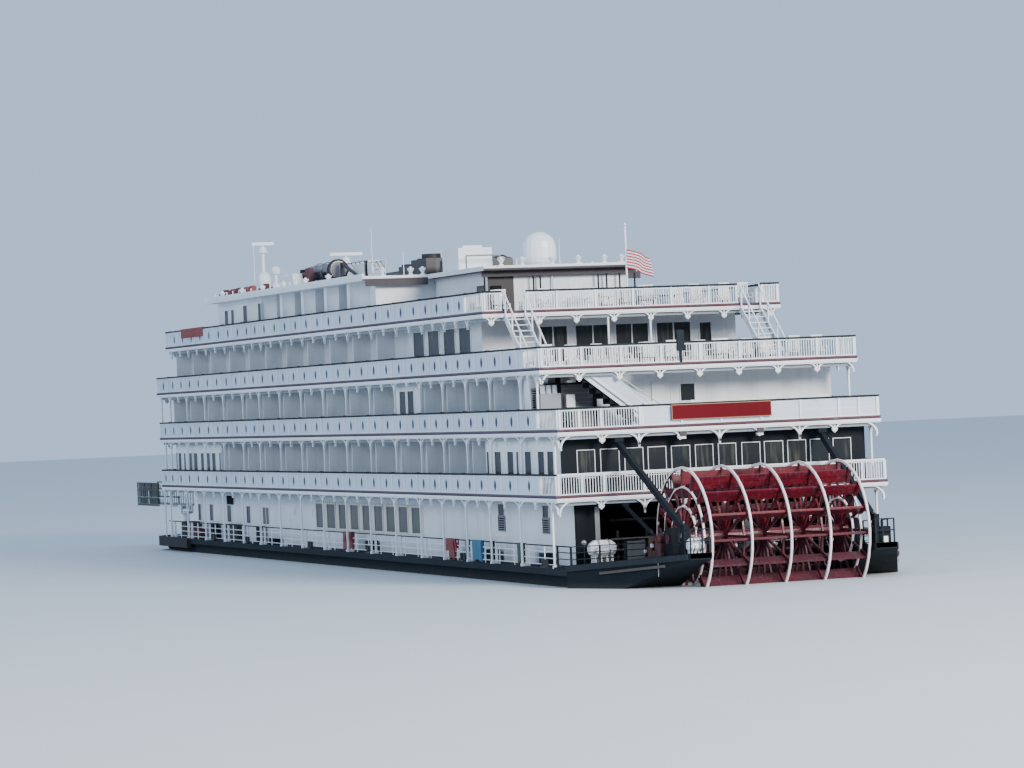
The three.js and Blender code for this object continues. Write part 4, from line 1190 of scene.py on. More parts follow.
@dataclass
class Deckhouses:
    """Windows, doors and wall gear of the five deckhouses."""

    cabin_half: float = 6.55

    def level_one(self) -> None:
        """Main deck: public-room windows in a cream band, doors and louvres."""
        shape, side = Shape(), 7.2
        shape.box(23.1, 42.45, side, side + 0.025, 1.86, 3.45, CREAM)
        Windows(Wall.PORT, side + 0.02, 1.98, 3.33, LOUNGE_WINDOWS_ONE, 1, 0.1, CREAM, BROWN_GLASS).add(shape)
        Windows(Wall.PORT, side, 1.97, 3.0, CABIN_WINDOWS_ONE).add(shape)
        Windows(Wall.PORT, side, 1.97, 2.97, [(53.27, 51.95)], 2, glass=BROWN_GLASS).add(shape)
        # opening filled with near-black: painted shade
        Windows(Wall.PORT, side, 3.04, 3.6, [(61.3, 59.6)], glass=RECESS_SHADE).add(shape)
        Windows(Wall.PORT, side, 3.12, 3.68, VENTS_ONE).add(shape)
        self.louvres(shape, Wall.PORT, side, VENTS_ONE, 2.4, 3.06)
        shape.boxes(rows([46.56, 42.9], side, 2.62), rows([48.03, 43.86], side + 0.06, 2.97), SHELL)
        shape.mirrored()
        Windows(Wall.BOW, 70.6, 1.5, 3.1, spans_at([-3.4, -2.2, 2.2, 3.4], 0.8)).add(shape)
        Windows(Wall.BOW, 70.6, 1.0, 3.1, [(-0.9, 0.9)], 2).add(shape)
        shape.build("openings_one", slot="house_paint")

    def level_two(self) -> None:
        """Second deck: dark stern wall with white-lined windows, lounge windows and cabin doors."""
        stern, side, wall = Shape(), Shape(), 0.965
        stern.box(wall, 0.998, -7.8, 7.8, 4.16, 7.05, CHARCOAL)
        Windows(Wall.STERN, wall, 5.0, 6.27, STERN_WINDOWS_TWO, 1, 0.03, TRIM, GLASS, 0.035).add(stern)
        Windows(Wall.PORT, 7.8, 4.9, 6.27, FORE_WINDOWS_TWO, 1, 0.05).add(side)
        Windows(Wall.PORT, 7.8, 4.9, 6.27, SIDE_WINDOWS_TWO, 1, 0.05).add(side)
        self.cabin_doors(side, DECKS["two"], 12, 59)
        side.mirrored()
        Windows(Wall.BOW, 70.9, 5.0, 6.6, spans_at([-6.2, -4.6, -3.0, 3.0, 4.6, 6.2], 1.2)).add(side)
        Windows(Wall.BOW, 70.9, 4.3, 6.5, [(-1.6, 1.6)], 4).add(side)
        stern.build("stern_wall_two", slot="dark_paint")
        side.build("openings_two", slot="house_paint")

    def level_three(self) -> None:
        """Third deck: stern wall with its lockers and machinery niche, and cabin doors."""
        shape, stern = Shape(), 4.6
        Windows(Wall.PORT, 7.7, 7.9, 9.45, [(23.62, 24.62), (22.3, 23.3)]).add(shape)
        self.cabin_doors(shape, DECKS["three"], 6, 71)
        shape.mirrored()
        Windows(Wall.BOW, 71.9, 7.35, 9.4, spans_at([-4.9, -1.7, 1.7, 4.9], 1.9), 2).add(shape)
        self.louvres(shape, Wall.STERN, stern, [(7.05, 7.75)], 7.9, 9.2)
        self.stern_niche(shape, stern)
        Windows(Wall.STERN, stern, 8.38, 9.19, [(0.13, -0.6)], 1, 0.05).add(shape)
        self.lower_stair(shape)
        shape.build("openings_three", slot="house_paint")

    def stern_niche(self, shape: Shape, x: float) -> None:
        """The machinery niche in the third deck's stern wall: jambs and shelf in painted shade, grille,
        lockers and bottles.

        Args:
            shape: where they go.
            x: the wall's plane.
        """
        floor, top = 7.21, 9.95
        slats = np.arange(7.4, 9.3, 0.22)
        shape.box(x - 0.04, x, 4.5, 6.9, floor, top, NICHE)
        # near-black jambs: painted shade at the niche's sides
        shape.boxes(rows(x - 0.1, [6.3, 4.5], floor), rows(x, [6.55, 4.66], top), RECESS_SHADE)
        shape.boxes(rows(x - 0.08, 4.7, slats), rows(x - 0.04, 6.25, slats + 0.05), LOUVRE)
        # near-black shelf: painted shade
        shape.box(3.9, x, 4.75, 7.1, 9.38, 9.46, RECESS_SHADE)
        shape.box(3.95, 4.35, 5.5, 6.2, 9.46, 9.56, CREAM)
        shape.box(3.9, 4.55, 6.55, 7.58, floor, 8.98, LOCKER_GREY)
        bottles = rows(4.2, [6.75, 7.05, 7.35], 8.98)
        shape.bars(bottles, bottles + UP * 0.4, 0.13, SHELL, 12)
        shape.box(4.2, x - 0.04, 5.72, 6.15, 8.3, 8.9, SHELL)

    def lower_stair(self, shape: Shape) -> None:
        """The lower stair's closed side towards the stern in painted shade, with its rails and painted shade
        under its steps.

        Args:
            shape: where they go.
        """
        foot, head = 7.25, 9.86
        side = np.array([[0.86, foot], [4.63, head], [5.62, head], [2.2, foot]])[::-1]
        # the side in the boards' painted shade
        shape.prisms(side, rows(2.7, 0.0, 0.0), ACROSS, UP, 0.05, SHADED_PANEL)
        for y_head, y_foot, lift, depth, paint in (
            (5.55, 2.13, -0.02, 0.13, RAIL),
            (4.63, 0.86, 0.0, 0.04, RAIL),
            (4.3, 0.53, 0.0, 0.04, STEEL),
        ):
            shape.beams(rows(2.66, y_head, head + lift), rows(2.66, y_foot, foot + lift), 0.04, depth, paint)
        share = np.arange(4, 11) / 11
        y, z = 2.2 + 3.65 * share, 7.21 + 2.89 * share
        # near-black boxes under the steps: painted shade
        shape.boxes(rows(2.86, y - 0.02, z - 0.42), rows(3.74, y + 0.3, z - 0.12), RECESS_SHADE)

    def level_four(self) -> None:
        """Fourth deck: wide lounge windows astern, cabin doors along the sides."""
        shape, stern = Shape(), 13.7
        Windows(Wall.PORT, 6.9, 11.1, 12.5, SIDE_WINDOWS_FOUR).add(shape)
        self.cabin_doors(shape, DECKS["four"], 26, 70)
        shape.mirrored()
        Windows(Wall.STERN, stern, 10.6, 12.36, STERN_WINDOWS_FOUR, 2, 0.07).add(shape)
        Windows(Wall.STERN, stern, 10.6, 12.3, [(-4.89, -5.5)], 1, 0.07).add(shape)
        Windows(Wall.BOW, 71.2, 10.25, 12.4, spans_at([-4.6, -1.5, 1.5, 4.6], 1.9), 2).add(shape)
        thin = rows(10.6, [1.33, -0.93], DECKS["four"].top)
        shape.boxes(thin - [0.04, 0.04, 0.0], thin + [0.04, 0.04, 2.55], RAIL)
        shape.build("openings_four", slot="house_paint")

    def level_five(self) -> None:
        """Fifth deck: wheelhouse windows forward, aft house with a dark brown corner that paints the shade
        under the canopy.
        """
        shape, side = Shape(), 7.5
        shape.box(51.3, 52.2, side - 0.08, side, 13.06, 15.5, WHITE)
        Windows(Wall.PORT, side, 13.4, 15.0, [(58.81, 58.03), (57.38, 56.73)]).add(shape)
        Windows(Wall.PORT, side, 13.3, 15.15, [(54.66, 53.78), (51.4, 50.78)]).add(shape)
        self.coves(shape)
        shape.mirrored()
        Windows(Wall.BOW, 60.4, 13.9, 15.1, spans_at(np.linspace(-6.3, 6.3, 9), 1.25), 1, 0.06).add(shape)
        # dark brown panel and a near-black box on it: painted shade on the aft house's corner under the
        # canopy
        shape.box(20.86, 20.9, 2.46, 3.88, 13.06, 15.3, BROWN_AND_SHADE)
        shape.box(20.7, 20.86, 3.2, 3.74, 14.36, 14.74, RECESS_SHADE)
        Windows(Wall.PORT, 3.9, 13.9, 14.8, [(21.3, 22.5)], 1, 0.06).add(shape)
        shape.build("openings_five", slot="house_paint")

    def coves(self, shape: Shape) -> None:
        """Curved walls in the fifth deck's bays, in a brighter white that paints light on them: plan lines
        along a quarter of an ellipse.

        From a bay's outer edge the line runs inwards by 0.95 sin t and aft by 1.5 (1 - cos t), for t
        from 0 to a quarter turn, and so meets the cabin wall squarely.

        Args:
            shape: where they go.
        """
        t = np.linspace(0, math.pi / 2, 17)
        curve = np.stack([-1.5 * (1 - np.cos(t)), 7.5 - 0.95 * np.sin(t)], axis=1)
        plan = np.concatenate([[[0.7, self.cabin_half], [0.7, 7.44]], curve])
        edges = np.array([50.8, 46.4, 42.1, 37.6, 33.3])
        middle = 14.28
        # the coves' brighter white is painted light
        shape.prisms(plan, rows(edges, 0.0, middle), ALONG, ACROSS, 2.45, LIT_COVE)

    def cabin_doors(self, shape: Shape, deck: Deck, aft: float, fore: float) -> None:
        """A sliding glass door in each gallery bay.

        Args:
            shape: where they go.
            deck: the deck that they open on.
            aft: where the cabins begin.
            fore: where they end.
        """
        posts = np.sort(POSTS[(POSTS > aft) & (POSTS < fore)])
        doors = spans_at((posts[:-1] + posts[1:]) / 2 - 0.55, 1.9)
        low, high = deck.top + 0.06, deck.top + 2.15
        Windows(Wall.PORT, self.cabin_half, low, high, doors, 2, 0.07, proud=0.06).add(shape)

    def louvres(
        self, shape: Shape, wall: Wall, plane: float, spans: Sequence[Pair], low: float, high: float
    ) -> None:
        """A grille of level slats in a frame, with painted shade behind the slats, in each span.

        Args:
            shape: where they go.
            wall: the way that it faces.
            plane: where the wall stands.
            spans: places where the grilles begin and end.
            low: their lowest height.
            high: their highest height.
        """
        # near-black behind the slats: painted shade
        grilles = Windows(wall, plane, low, high, spans, 1, 0.06, LOUVRE, RECESS_SHADE, 0.06)
        grilles.add(shape)
        for a, b in spans:
            for z in np.arange(low + 0.05, high - 0.02, 0.11):
                grilles.slab(shape, a, b, 0.045, z, z + 0.045, LOUVRE)

    def build(self) -> None:
        """Builds all five levels."""
        for level in (self.level_one, self.level_two, self.level_three, self.level_four, self.level_five):
            level()


@dataclass
class EngineFlat:
    """The open stern of the main deck house, lined in painted shade, with its machinery."""

    aft: float = 1.17
    fore: float = 6.18
    half: float = 6.18
    low: float = 0.86
    high: float = 3.64
    lining: float = 0.03

    def recess(self, shape: Shape) -> None:
        """Lining in painted shade, the stern wall and its doors beside it in the same painted shade, and four
        posts across it.

        Args:
            shape: where they go.
        """
        a, x, h, t, z0, z1 = self.aft, self.fore, self.half, self.lining, self.low, self.high
        # near-black lining: painted shade inside the recess
        shape.box(x - t, x, -h, h, z0, z1, RECESS_SHADE)
        shape.box(a, x, h - t, h, z0, z1, RECESS_SHADE)
        shape.box(a, x, -h, t - h, z0, z1, RECESS_SHADE)
        shape.box(a, x, -h, h, z1 - t, z1, RECESS_SHADE)
        shape.box(a, x, -h, h, z0, z0 + 0.01, DECK_GREY)
        shape.boxes(rows(1.125, [6.2, -7.18], z0), rows(1.158, [7.18, -6.2], 3.98), CHARCOAL)
        shape.boxes(rows(1.09, [6.35, -7.1], 0.9), rows(1.125, [7.1, -6.35], 2.95), RECESS_SHADE)
        shape.boxes(rows(1.125, -h, 3.62), rows(1.158, h, 3.98), CHARCOAL)
        posts = np.array([6.02, 1.6, -1.6, -6.02])
        shape.boxes(rows(1.2, posts - 0.12, z0), rows(1.48, posts + 0.12, z1), STEEL)

    def machinery(self, shape: Shape) -> None:
        """A casing, pipes on their frames, two drums on beds, and switch boxes.

        Args:
            shape: where they go.
        """
        z = self.low
        shape.box(1.2, 3.6, 0.2, 1.5, z, 3.4, CHARCOAL)
        frames = np.linspace(-4.5, 4.5, 7)
        shape.bars(rows(2.6, frames, z), rows(2.6, frames, 2.4), 0.09, IRON)
        pipes = rows(2.2, -5.0, [1.5, 2.0, 2.9])
        shape.bars(pipes, pipes + ACROSS * 10.0, 0.08, IRON, 10)
        drums = rows(3.4, [-3.6, 2.6], 1.5)
        shape.bars(drums, drums + ALONG * 2.2, 0.55, STEEL, 18)
        shape.boxes(rows(3.0, [-4.3, 2.0], z), rows(5.9, [-2.9, 3.2], 1.15), IRON)
        shape.boxes(rows(1.9, [3.4, -2.2], z), rows(2.5, [4.3, -1.4], 1.9), LOUVRE)

    def build(self) -> None:
        """Lines the recess and sets the machinery in it."""
        shape = Shape()
        self.recess(shape)
        self.machinery(shape)
        shape.build("engine_flat", slot="dark_paint")


@dataclass
class PaddleWheel:
    """Bolted straps, planks and studs on the paddle wheel."""

    x: float = -4.14
    z: float = 2.16
    arms: int = 16
    inner: float = 2.42
    outer: float = 3.02
    frames: tuple[float, ...] = (-3.88, -1.94, 0.0, 1.94, 3.88)

    def spin(self, shape: Shape, low: Array, high: Array, paint: Paint) -> None:
        """Repeats boxes about the shaft, one set to each arm.

        Args:
            shape: where they go.
            low: lowest corners with the shaft at zero.
            high: highest corners.
            paint: the finish.
        """
        low, high = matched(low, high)
        corners = low[:, None] + BOX_CORNERS * (high - low)[:, None]
        t = np.arange(self.arms) * 2 * math.pi / self.arms
        c, s = np.cos(t)[:, None, None], np.sin(t)[:, None, None]
        x, y, z = np.moveaxis(corners, -1, 0)
        shape.cells(rows(x * c + z * s, y, z * c - x * s) + [self.x, 0.0, self.z], paint)

    def build(self) -> None:
        """Adds the planks' faces, straps and bolts, the arms' ribs and the hubs' studs."""
        shape = Shape()
        ys = np.array(self.frames)
        face = 0.12
        for r in (self.inner + 0.02, self.inner + 0.31):
            self.spin(shape, rows(r, ys[0], face), rows(r + 0.27, ys[-1], face + 0.025), WHEEL_RED)
        straps = rows(self.inner - 0.08, ys, face + 0.02)
        long = self.outer - self.inner + 0.11
        self.spin(shape, straps - ACROSS * 0.09, straps + [long, 0.09, 0.05], WHEEL_RED)
        bolts = np.array([(r, y, face + 0.07) for y in ys for r in (2.5, 2.72, 2.94)])
        for dy in (-0.05, 0.05):
            self.spin(shape, bolts + [-0.02, dy - 0.02, 0.0], bolts + [0.02, dy + 0.02, 0.03], IRON)
        self.spin(shape, rows(0.45, ys - 0.08, -0.03), rows(1.4, ys + 0.08, 0.03), WHEEL_RED)
        middles = (ys[:-1] + ys[1:]) / 2
        self.spin(shape, rows(2.4, middles - 0.05, 0.05), rows(2.46, middles + 0.05, 0.17), WHEEL_RED)
        t = (np.arange(self.arms) * 2 + 1) * math.pi / self.arms
        for s in (-1, 1):
            studs = rows(self.x + 0.36 * np.cos(t), s * 3.93, self.z + 0.36 * np.sin(t))
            shape.bars(studs, studs + ACROSS * s * 0.06, 0.045, IRON, 6)
        shape.build("wheel_planks", body="paddle_wheel", slot="wheel_paint")


def arm_top(x: float | Array) -> Any:
    """Height of a stern arm's top: it rises aft from 0.92 m at x = 0.9 to 1.6 m at x = -7.6."""
    return 0.92 + 0.08 * (0.9 - x)


@dataclass
class SternGear:
    """What stands and hangs on the stern arms.

    An arm's outer side slants in plan from (-0.77, 8.435) to (-7.62, 5.135).
    """

    middle: float = 4.7
    aft: float = -7.6
    aft_middle: float = 4.575
    side_start: Pair = (-0.77, 8.435)
    side_run: Pair = (-6.85, -3.3)
    rail: float = 1.07

    def drive(self) -> None:
        """Small gear housings, pipes and valves beside the wheel, on each arm."""
        shape = Shape()
        t = turns(14)
        for s in (1, -1):
            y = s * self.middle
            bases = np.array([-3.75, -2.75, -3.2])
            tops = rows([-3.15, -2.25, -2.8], y + 0.26, [1.95, 1.78, 1.6])
            shape.boxes(rows(bases, y - 0.26, arm_top(bases)), tops, DRIVE_RED)
            pumps = rows([-3.45, -2.5], s * 4.5, [2.12, 1.98])
            shape.bars(pumps, pumps + ACROSS * s * 0.4, 0.27, DRIVE_RED, 16)
            wheel = rows(-3.45 + 0.2 * np.cos(t), s * 4.95, 2.12 + 0.2 * np.sin(t))
            shape.hoop(wheel, 0.025, GEAR_RED)
            stems = rows([-3.45, -2.5], y, [2.3, 2.2])
            shape.bars(stems, rows([-3.3, -2.2], y, [2.62, 2.5]), 0.05, IRON)
            shape.bars(rows(-3.9, s * 4.85, 1.45), rows(-1.2, s * 4.85, 1.16), 0.06, DRIVE_RED)
            boxes = rows([-2.95, -2.1], s * 4.98 - 0.05, [1.75, 1.5])
            shape.boxes(boxes, boxes + rows(0.15, 0.1, [0.17, 0.12]), SHELL)
            elbows = rows([-6.15, -6.0], s * 4.72, [2.95, 2.6])
            shape.bars(elbows, rows(-5.75, s * 4.72, [2.6, 2.25]), 0.05, STEEL, 6)
        shape.build("wheel_drive", slot="dark_paint")

    def side_point(self, s: int, share: float, below: float) -> Array:
        """The point at a share of an arm's side, below the arm's top.

        Args:
            s: +1 to port, -1 to starboard.
            share: 0 at the forward end, 1 at the after end.
            below: how far below the top.
        Returns:
            One row.
        """
        x = self.side_start[0] + self.side_run[0] * share
        y = self.side_start[1] + self.side_run[1] * share
        return rows(x, s * y, arm_top(x) - below)

    def plates(self) -> None:
        """Top plates, rub strakes and a hanging line on the arms' sides, and plates at their ends."""
        shape = Shape()
        for s in (1, -1):
            for start, end, width, depth, paint in (
                ((0.0, 0.16), (0.985, 0.16), 0.06, 0.26, ARM_GREY),
                ((0.28, 0.5), (0.8, 0.46), 0.12, 0.12, STRAKE),
            ):
                shape.beams(self.side_point(s, *start), self.side_point(s, *end), width, depth, paint)
            shape.bars(self.side_point(s, 0.75, 0.2), self.side_point(s, 0.75, 0.9), 0.014, STEEL, 6)
            end = rows(self.aft, s * self.aft_middle, 1.36)
            shape.boxes(end - ACROSS * 0.54, end + [0.03, 0.54, 0.22], ARM_GREY)
        shape.build("arm_strakes", slot="dark_paint")

    def platform(self) -> None:
        """Guard rail on the after end of each arm, and lockers on the starboard one."""
        shape, aft, mid = Shape(), -7.5, -6.85
        for s in (1, -1):
            corners = np.array([[-6.2, 4.1], [aft, 4.1], [aft, 5.02], [-6.2, 5.02]]) * [1, s]
            feet = np.column_stack([corners, arm_top(corners[:, 0])])
            between = rows([aft, mid], [s * 4.45, s * 5.02], arm_top(np.array([aft, mid])))
            for lift in (0.55, self.rail):
                shape.beams(feet[:-1] + UP * lift, feet[1:] + UP * lift, 0.045, 0.045, CAP)
            posts = np.concatenate([feet, between])
            shape.boxes(posts - [0.03, 0.03, 0], posts + [0.03, 0.03, self.rail], CAP)
        lockers = rows([-7.3, -6.7], -4.95, arm_top(-6.4))
        shape.boxes(lockers, rows([-6.75, -6.3], [-4.2, -4.3], [2.3, 2.1]), CHARCOAL)
        shape.box(-7.42, -7.2, -4.75, -4.5, arm_top(-7.2), 1.86, SHELL)
        shape.build("arm_rails", slot="dark_paint")

    def canister(self, shape: Shape, place: Triple, size: float, length: float) -> None:
        """One life-raft canister on its cradle: an eight-sided shell turned about a line across the boat.

        Args:
            shape: where it goes.
            place: its middle.
            size: its radius, as a share of 0.44 m.
            length: its length, as a share of 1.48 m.
        """
        half = np.array([[0.0, 0.74], [0.26, 0.74], [0.44, 0.44], [0.44, 0.03], [0.455, 0.02]])
        profile = np.concatenate([half * [1, -1], half[::-1]])
        lying = Shape()
        lying.turned(profile * [size, length], np.zeros((1, 3)), SHELL, 8)
        turn = math.pi / 8
        x, y, z = lying.points[0].T
        across = x * math.cos(turn) - y * math.sin(turn)
        up = x * math.sin(turn) + y * math.cos(turn)
        shape.add(rows(across, z, up) + place, lying.faces[0][0][:, ::-1], SHELL)
        px, py, pz = place
        legs = py + np.array([-0.5, -0.2, 0.15, 0.5]) * length
        lows = rows(px - 0.22 * size, legs - 0.05, arm_top(px + 0.2))
        shape.boxes(lows, rows(px + 0.22 * size, legs + 0.05, pz - 0.3 * size), CRATE)
        t = np.linspace(0, 2 * math.pi, 17)
        for y in (py - 0.3 * length, py + 0.3 * length):
            band = rows(px + 0.45 * size * np.cos(t), y, pz + 0.45 * size * np.sin(t))
            shape.beams(band[:-1], band[1:], 0.05, 0.03, STEEL)

    def canisters(self) -> None:
        """Two white life-raft canisters, and a ball on a stalk beside the larger one."""
        shape = Shape()
        self.canister(shape, (0.1, 6.28, 1.7), 0.96, 0.86)
        self.canister(shape, (-7.0, 4.58, 1.94), 0.78, 0.52)
        ball = np.array([[0.0, -0.13], [0.09, -0.09], [0.13, 0.0], [0.09, 0.09], [0.0, 0.13]])
        x, y, z = 0.1, 7.16, 2.02
        shape.turned(ball, rows(x, y, z), STEEL, 12)
        shape.bars(rows(x, y, arm_top(x)), rows(x, y, z - 0.1), 0.03, CAP, 6)
        shape.build("life_raft_canisters", replaces=["capsule_deck", "capsule_arm"], slot="scanner_plastic")

    def build(self) -> None:
        """Builds the drive, the plates, the platforms and the canisters."""
        self.drive()
        self.plates()
        self.platform()
        self.canisters()


@dataclass
class Roof:
    """Urns, aerials, lockers, rafts and pipework on the roof."""

    top: float = ROOF_TOP
    half: float = 8.12
    aft: float = 29.0
    canopy_aft: float = 20.0
    canopy_half: float = 4.4
    stack_y: float = 5.0
    stack_z: float = 16.72

    def urns(self) -> None:
        """Small urns round the roof's edge."""
        z = self.top
        radii = np.array([0.0, 0.14, 0.14, 0.06, 0.12, 0.18, 0.2, 0.1, 0.06, 0.0])
        heights = np.array([0.0, 0.0, 0.05, 0.1, 0.2, 0.3, 0.36, 0.38, 0.44, 0.46])
        urn = np.stack([radii, heights], axis=1)
        aft = rows(self.aft + 0.25, [6.87, 5.28, 4.6], z)
        canopy = rows(self.canopy_aft + 0.25, [3.33, 2.16, 0.5, -0.96, -2.43, -3.4], z)
        side = rows(np.arange(36.0, 60.0, 4.4)[:, None], [7.85, -7.85], z)
        shape = Shape()
        shape.turned(urn, np.concatenate([aft, aft * [1, -1, 1], canopy, side]), TRIM, 12)
        shape.build("roof_urns", slot="rail_paint")

    def coaming(self) -> None:
        """A low coaming along the roof's sides, carried forward as a narrow eave."""
        z, y, high, shape = self.top, self.half, 0.13, Shape()
        fore, eave = 60.9, 61.5
        shape.boxes(rows(self.aft, [8.0, -y], z), rows(fore, [y, -8.0], z + high), TRIM)
        shape.box(fore, eave, -y, y, z - 0.22, z, TRIM)
        shape.box(fore, eave, -y, y, z, z + high, TRIM)
        shape.build("roof_coaming", slot="rail_paint")

    def rafts(self, shape: Shape) -> None:
        """Rafts under covers on their chocks, along both sides.

        Args:
            shape: where they go.
        """
        xs = np.array([59.9, 58.5, 56.9, 55.4, 53.9, 51.4])
        ys = np.array([7.1, 7.0, 7.1, 7.0, 7.1, 7.0])
        covers = (MAROON, RAFT_RED, MAROON, RAFT_RED, RAFT_RED, MAROON)
        for s in (1, -1):
            lows = rows(xs - 0.5, s * ys - 0.3, self.top + 0.12)
            for low, cover in zip(lows, covers):
                shape.boxes(low, low + [1.0, 0.6, 0.26], cover)
                shape.bars(low + [0.1, 0.3, 0.32], low + [0.9, 0.3, 0.32], 0.15, cover, 10)
            for x in (0.0, 0.9):
                shape.boxes(lows + [x, 0.0, -0.12], lows + [x + 0.1, 0.6, 0.0], IRON)

    def lockers(self, shape: Shape) -> None:
        """White lockers beside the stacks' feet, and red and maroon boxes beside them.

        Args:
            shape: where they go.
        """
        z = self.top
        locker = np.array([[46.4, z], [49.1, z], [48.7, z + 0.98], [48.1, z + 0.82], [46.8, z + 0.95]])
        for y in (6.4, -6.4):
            shape.prisms(locker, rows(0.0, y, 0.0), ALONG, UP, 0.6, CRATE)
        for y in (5.72, -5.98):
            shape.box(46.6, 47.4, y, y + 0.26, z, z + 1.0, GEAR_RED)
            shape.box(45.7, 46.6, y, y + 0.26, z, z + 1.22, MAROON)

    def machinery(self, shape: Shape) -> None:
        """Dark fan casings and their drums amidships.

        Args:
            shape: where they go.
        """
        z = self.top
        highs = rows([43.0, 46.4, 39.2, 35.0], [1.4, 1.2, 1.9, 1.6], z + np.array([1.0, 0.8, 1.2, 0.95]))
        shape.boxes(rows([40.6, 43.4, 36.5, 33.0], [-1.6, -1.2, -2.2, -2.0], z), highs, IRON)
        drums = rows([42.0, 44.9, 37.3, 38.5], [0.0, 0.0, -0.8, 0.9], z + np.array([1.0, 0.8, 1.1, 1.1]))
        shape.bars(drums, drums + UP * 0.42, 0.55, STACK_DARK, 18)

    def crutches(self, shape: Shape, s: int) -> None:
        """White boxes on a post, and the crutch that carries a folded stack.

        Args:
            shape: where they go.
            s: +1 to port, -1 to starboard.
        """
        z, y, stack = self.top, s * 4.34, s * 4.95
        boxes = rows([40.25, 38.75], y - 0.03, z + 0.55)
        shape.boxes(boxes, rows([42.3, 39.65], y + 0.03, z + 1.12), CRATE)
        shape.box(39.85, 40.05, y - 0.06, y + 0.06, z, z + 1.3, IRON)
        heads = rows([42.6, 42.5], stack, z + np.array([1.3, 0.5]))
        shape.beams(heads, rows([38.2, 41.2], stack, z), 0.16, 0.12, STACK_DARK)
        shape.box(42.45, 42.65, stack - 0.1, stack + 0.1, z, z + 1.32, STACK_DARK)

    def pipe_rail(self, shape: Shape) -> None:
        """A pipe rail on three legs over the canopy.

        Args:
            shape: where they go.
        """
        high = 0.74
        feet = rows([24.2, 24.2, 27.9], [3.85, 1.95, 1.95], self.top)
        heads = feet + UP * high
        shape.bars(feet, heads, 0.045, STEEL)
        for start, end in zip(heads[:-1], heads[1:]):
            shape.bars(start, end, 0.045, STEEL)

    def fittings(self) -> None:
        """Stanchions, rafts, lockers, pipes and the dark gear amidships."""
        z = self.top
        shape = Shape()
        places = rows(np.arange(42.0, 60.5, 1.35)[:, None], [7.9, -7.9], z)
        shape.bars(places, places + UP * 0.34, 0.035, TRIM, 6)
        self.rafts(shape)
        self.lockers(shape)
        self.machinery(shape)
        self.frame_box(shape, (39.7, 43.75), (3.3, 4.3), z + 0.85, z + 1.3)
        whips = rows([56.8, 41.4, 35.75, 56.8, 33.5], [6.1, 3.5, 3.5, -6.0, -5.0], z)
        shape.bars(whips, whips + rows(0.0, 0.0, [3.25, 3.2, 1.55, 2.6, 2.0]), 0.03, TRIM, 6, 0.012)
        for s in (1, -1):
            self.crutches(shape, s)
        self.pipe_rail(shape)
        shape.build("roof_fittings", slot="rail_paint")

    def frame_box(self, shape: Shape, xs: Pair, ys: Pair, low: float, high: float) -> None:
        """A light lattice box on legs, with braces on its long sides.

        Args:
            shape: where it goes.
            xs: its ends.
            ys: its sides.
            low: its underside.
            high: its top.
        """
        corners = rows(np.array(xs)[:, None], ys, self.top)
        shape.bars(corners, corners + UP * (high - self.top), 0.04, STEEL, 6)
        stations = np.linspace(*xs, 6)
        for y in ys:
            for z in (low, high):
                shape.beams(rows(xs[0], y, z), rows(xs[1], y, z), 0.05, 0.05, STEEL)
            shape.beams(rows(stations[:-1], y, low), rows(stations[1:], y, high), 0.035, 0.035, STEEL)
            shape.beams(rows(stations, y, low), rows(stations, y, high), 0.035, 0.035, STEEL)
        for z in (low, high):
            shape.beams(rows(stations, ys[0], z), rows(stations, ys[1], z), 0.035, 0.035, STEEL)

    def canopy(self) -> None:
        """Posts of the aft canopy, and its underside, beams and the roof's edge line in dark taupe that
        paints the shade under the roof's edge.
        """
        shape, a, h, under = Shape(), self.canopy_aft, self.canopy_half, 15.508
        posts = rows(20.5, [1.49, 1.11, -2.14, -2.61, -3.35, 4.2, -4.2], DECKS["five"].top)
        shape.boxes(posts - [0.035, 0.035, 0], posts + [0.035, 0.035, 2.15], CAP)
        # canopy's underside, fascia and beams in dark taupe: painted shade
        shape.box(a + 0.02, self.aft - 0.02, 0.02 - h, h - 0.02, 15.495, under, CANOPY_SHADE)
        shape.box(a - 0.025, a, -h, h, 15.51, 15.62, CANOPY_SHADE)
        edges = rows(self.aft - 0.025, [h, -self.half], 15.51)
        shape.boxes(edges, rows(self.aft, [self.half, -h], 15.6), CANOPY_SHADE)
        beams = rows([20.5, 28.85, 28.85], [-4.3, 4.45, -7.95], 15.2)
        shape.boxes(beams, rows([20.66, self.aft, self.aft], [4.3, 7.95, -4.45], under), CANOPY_SHADE)
        shape.box(20.7, 20.74, 0.32, 0.38, 13.06, 15.2, STEEL)
        shape.build("canopy_posts", slot="dark_paint")

    def stacks(self) -> None:
        """Crown rings, lid and bands of each folded stack."""
        t = turns(24)
        z = self.stack_z
        for name, s in (("port", 1), ("starboard", -1)):
            shape, y = Shape(), s * self.stack_y
            for x, r, tube in ((43.18, 0.53, 0.095), (43.36, 0.53, 0.095), (43.6, 0.52, 0.05)):
                shape.hoop(rows(x, y + r * np.cos(t), z + r * np.sin(t)), tube, STACK_DARK)
            shape.bars(rows(43.1, y, z), rows(43.05, y, z), 0.44, STACK_LID, 28)
            for x in (45.0, 46.6):
                shape.hoop(rows(x, y + 0.51 * np.cos(t), z + 0.51 * np.sin(t)), 0.03, STACK_STEEL)
            shape.build("stack_bands_" + name, body="stack_" + name, slot="stack_metal")

    def build(self) -> None:
        """Builds the roof's pieces."""
        self.coaming()
        self.urns()
        self.fittings()
        self.canopy()
        self.stacks()


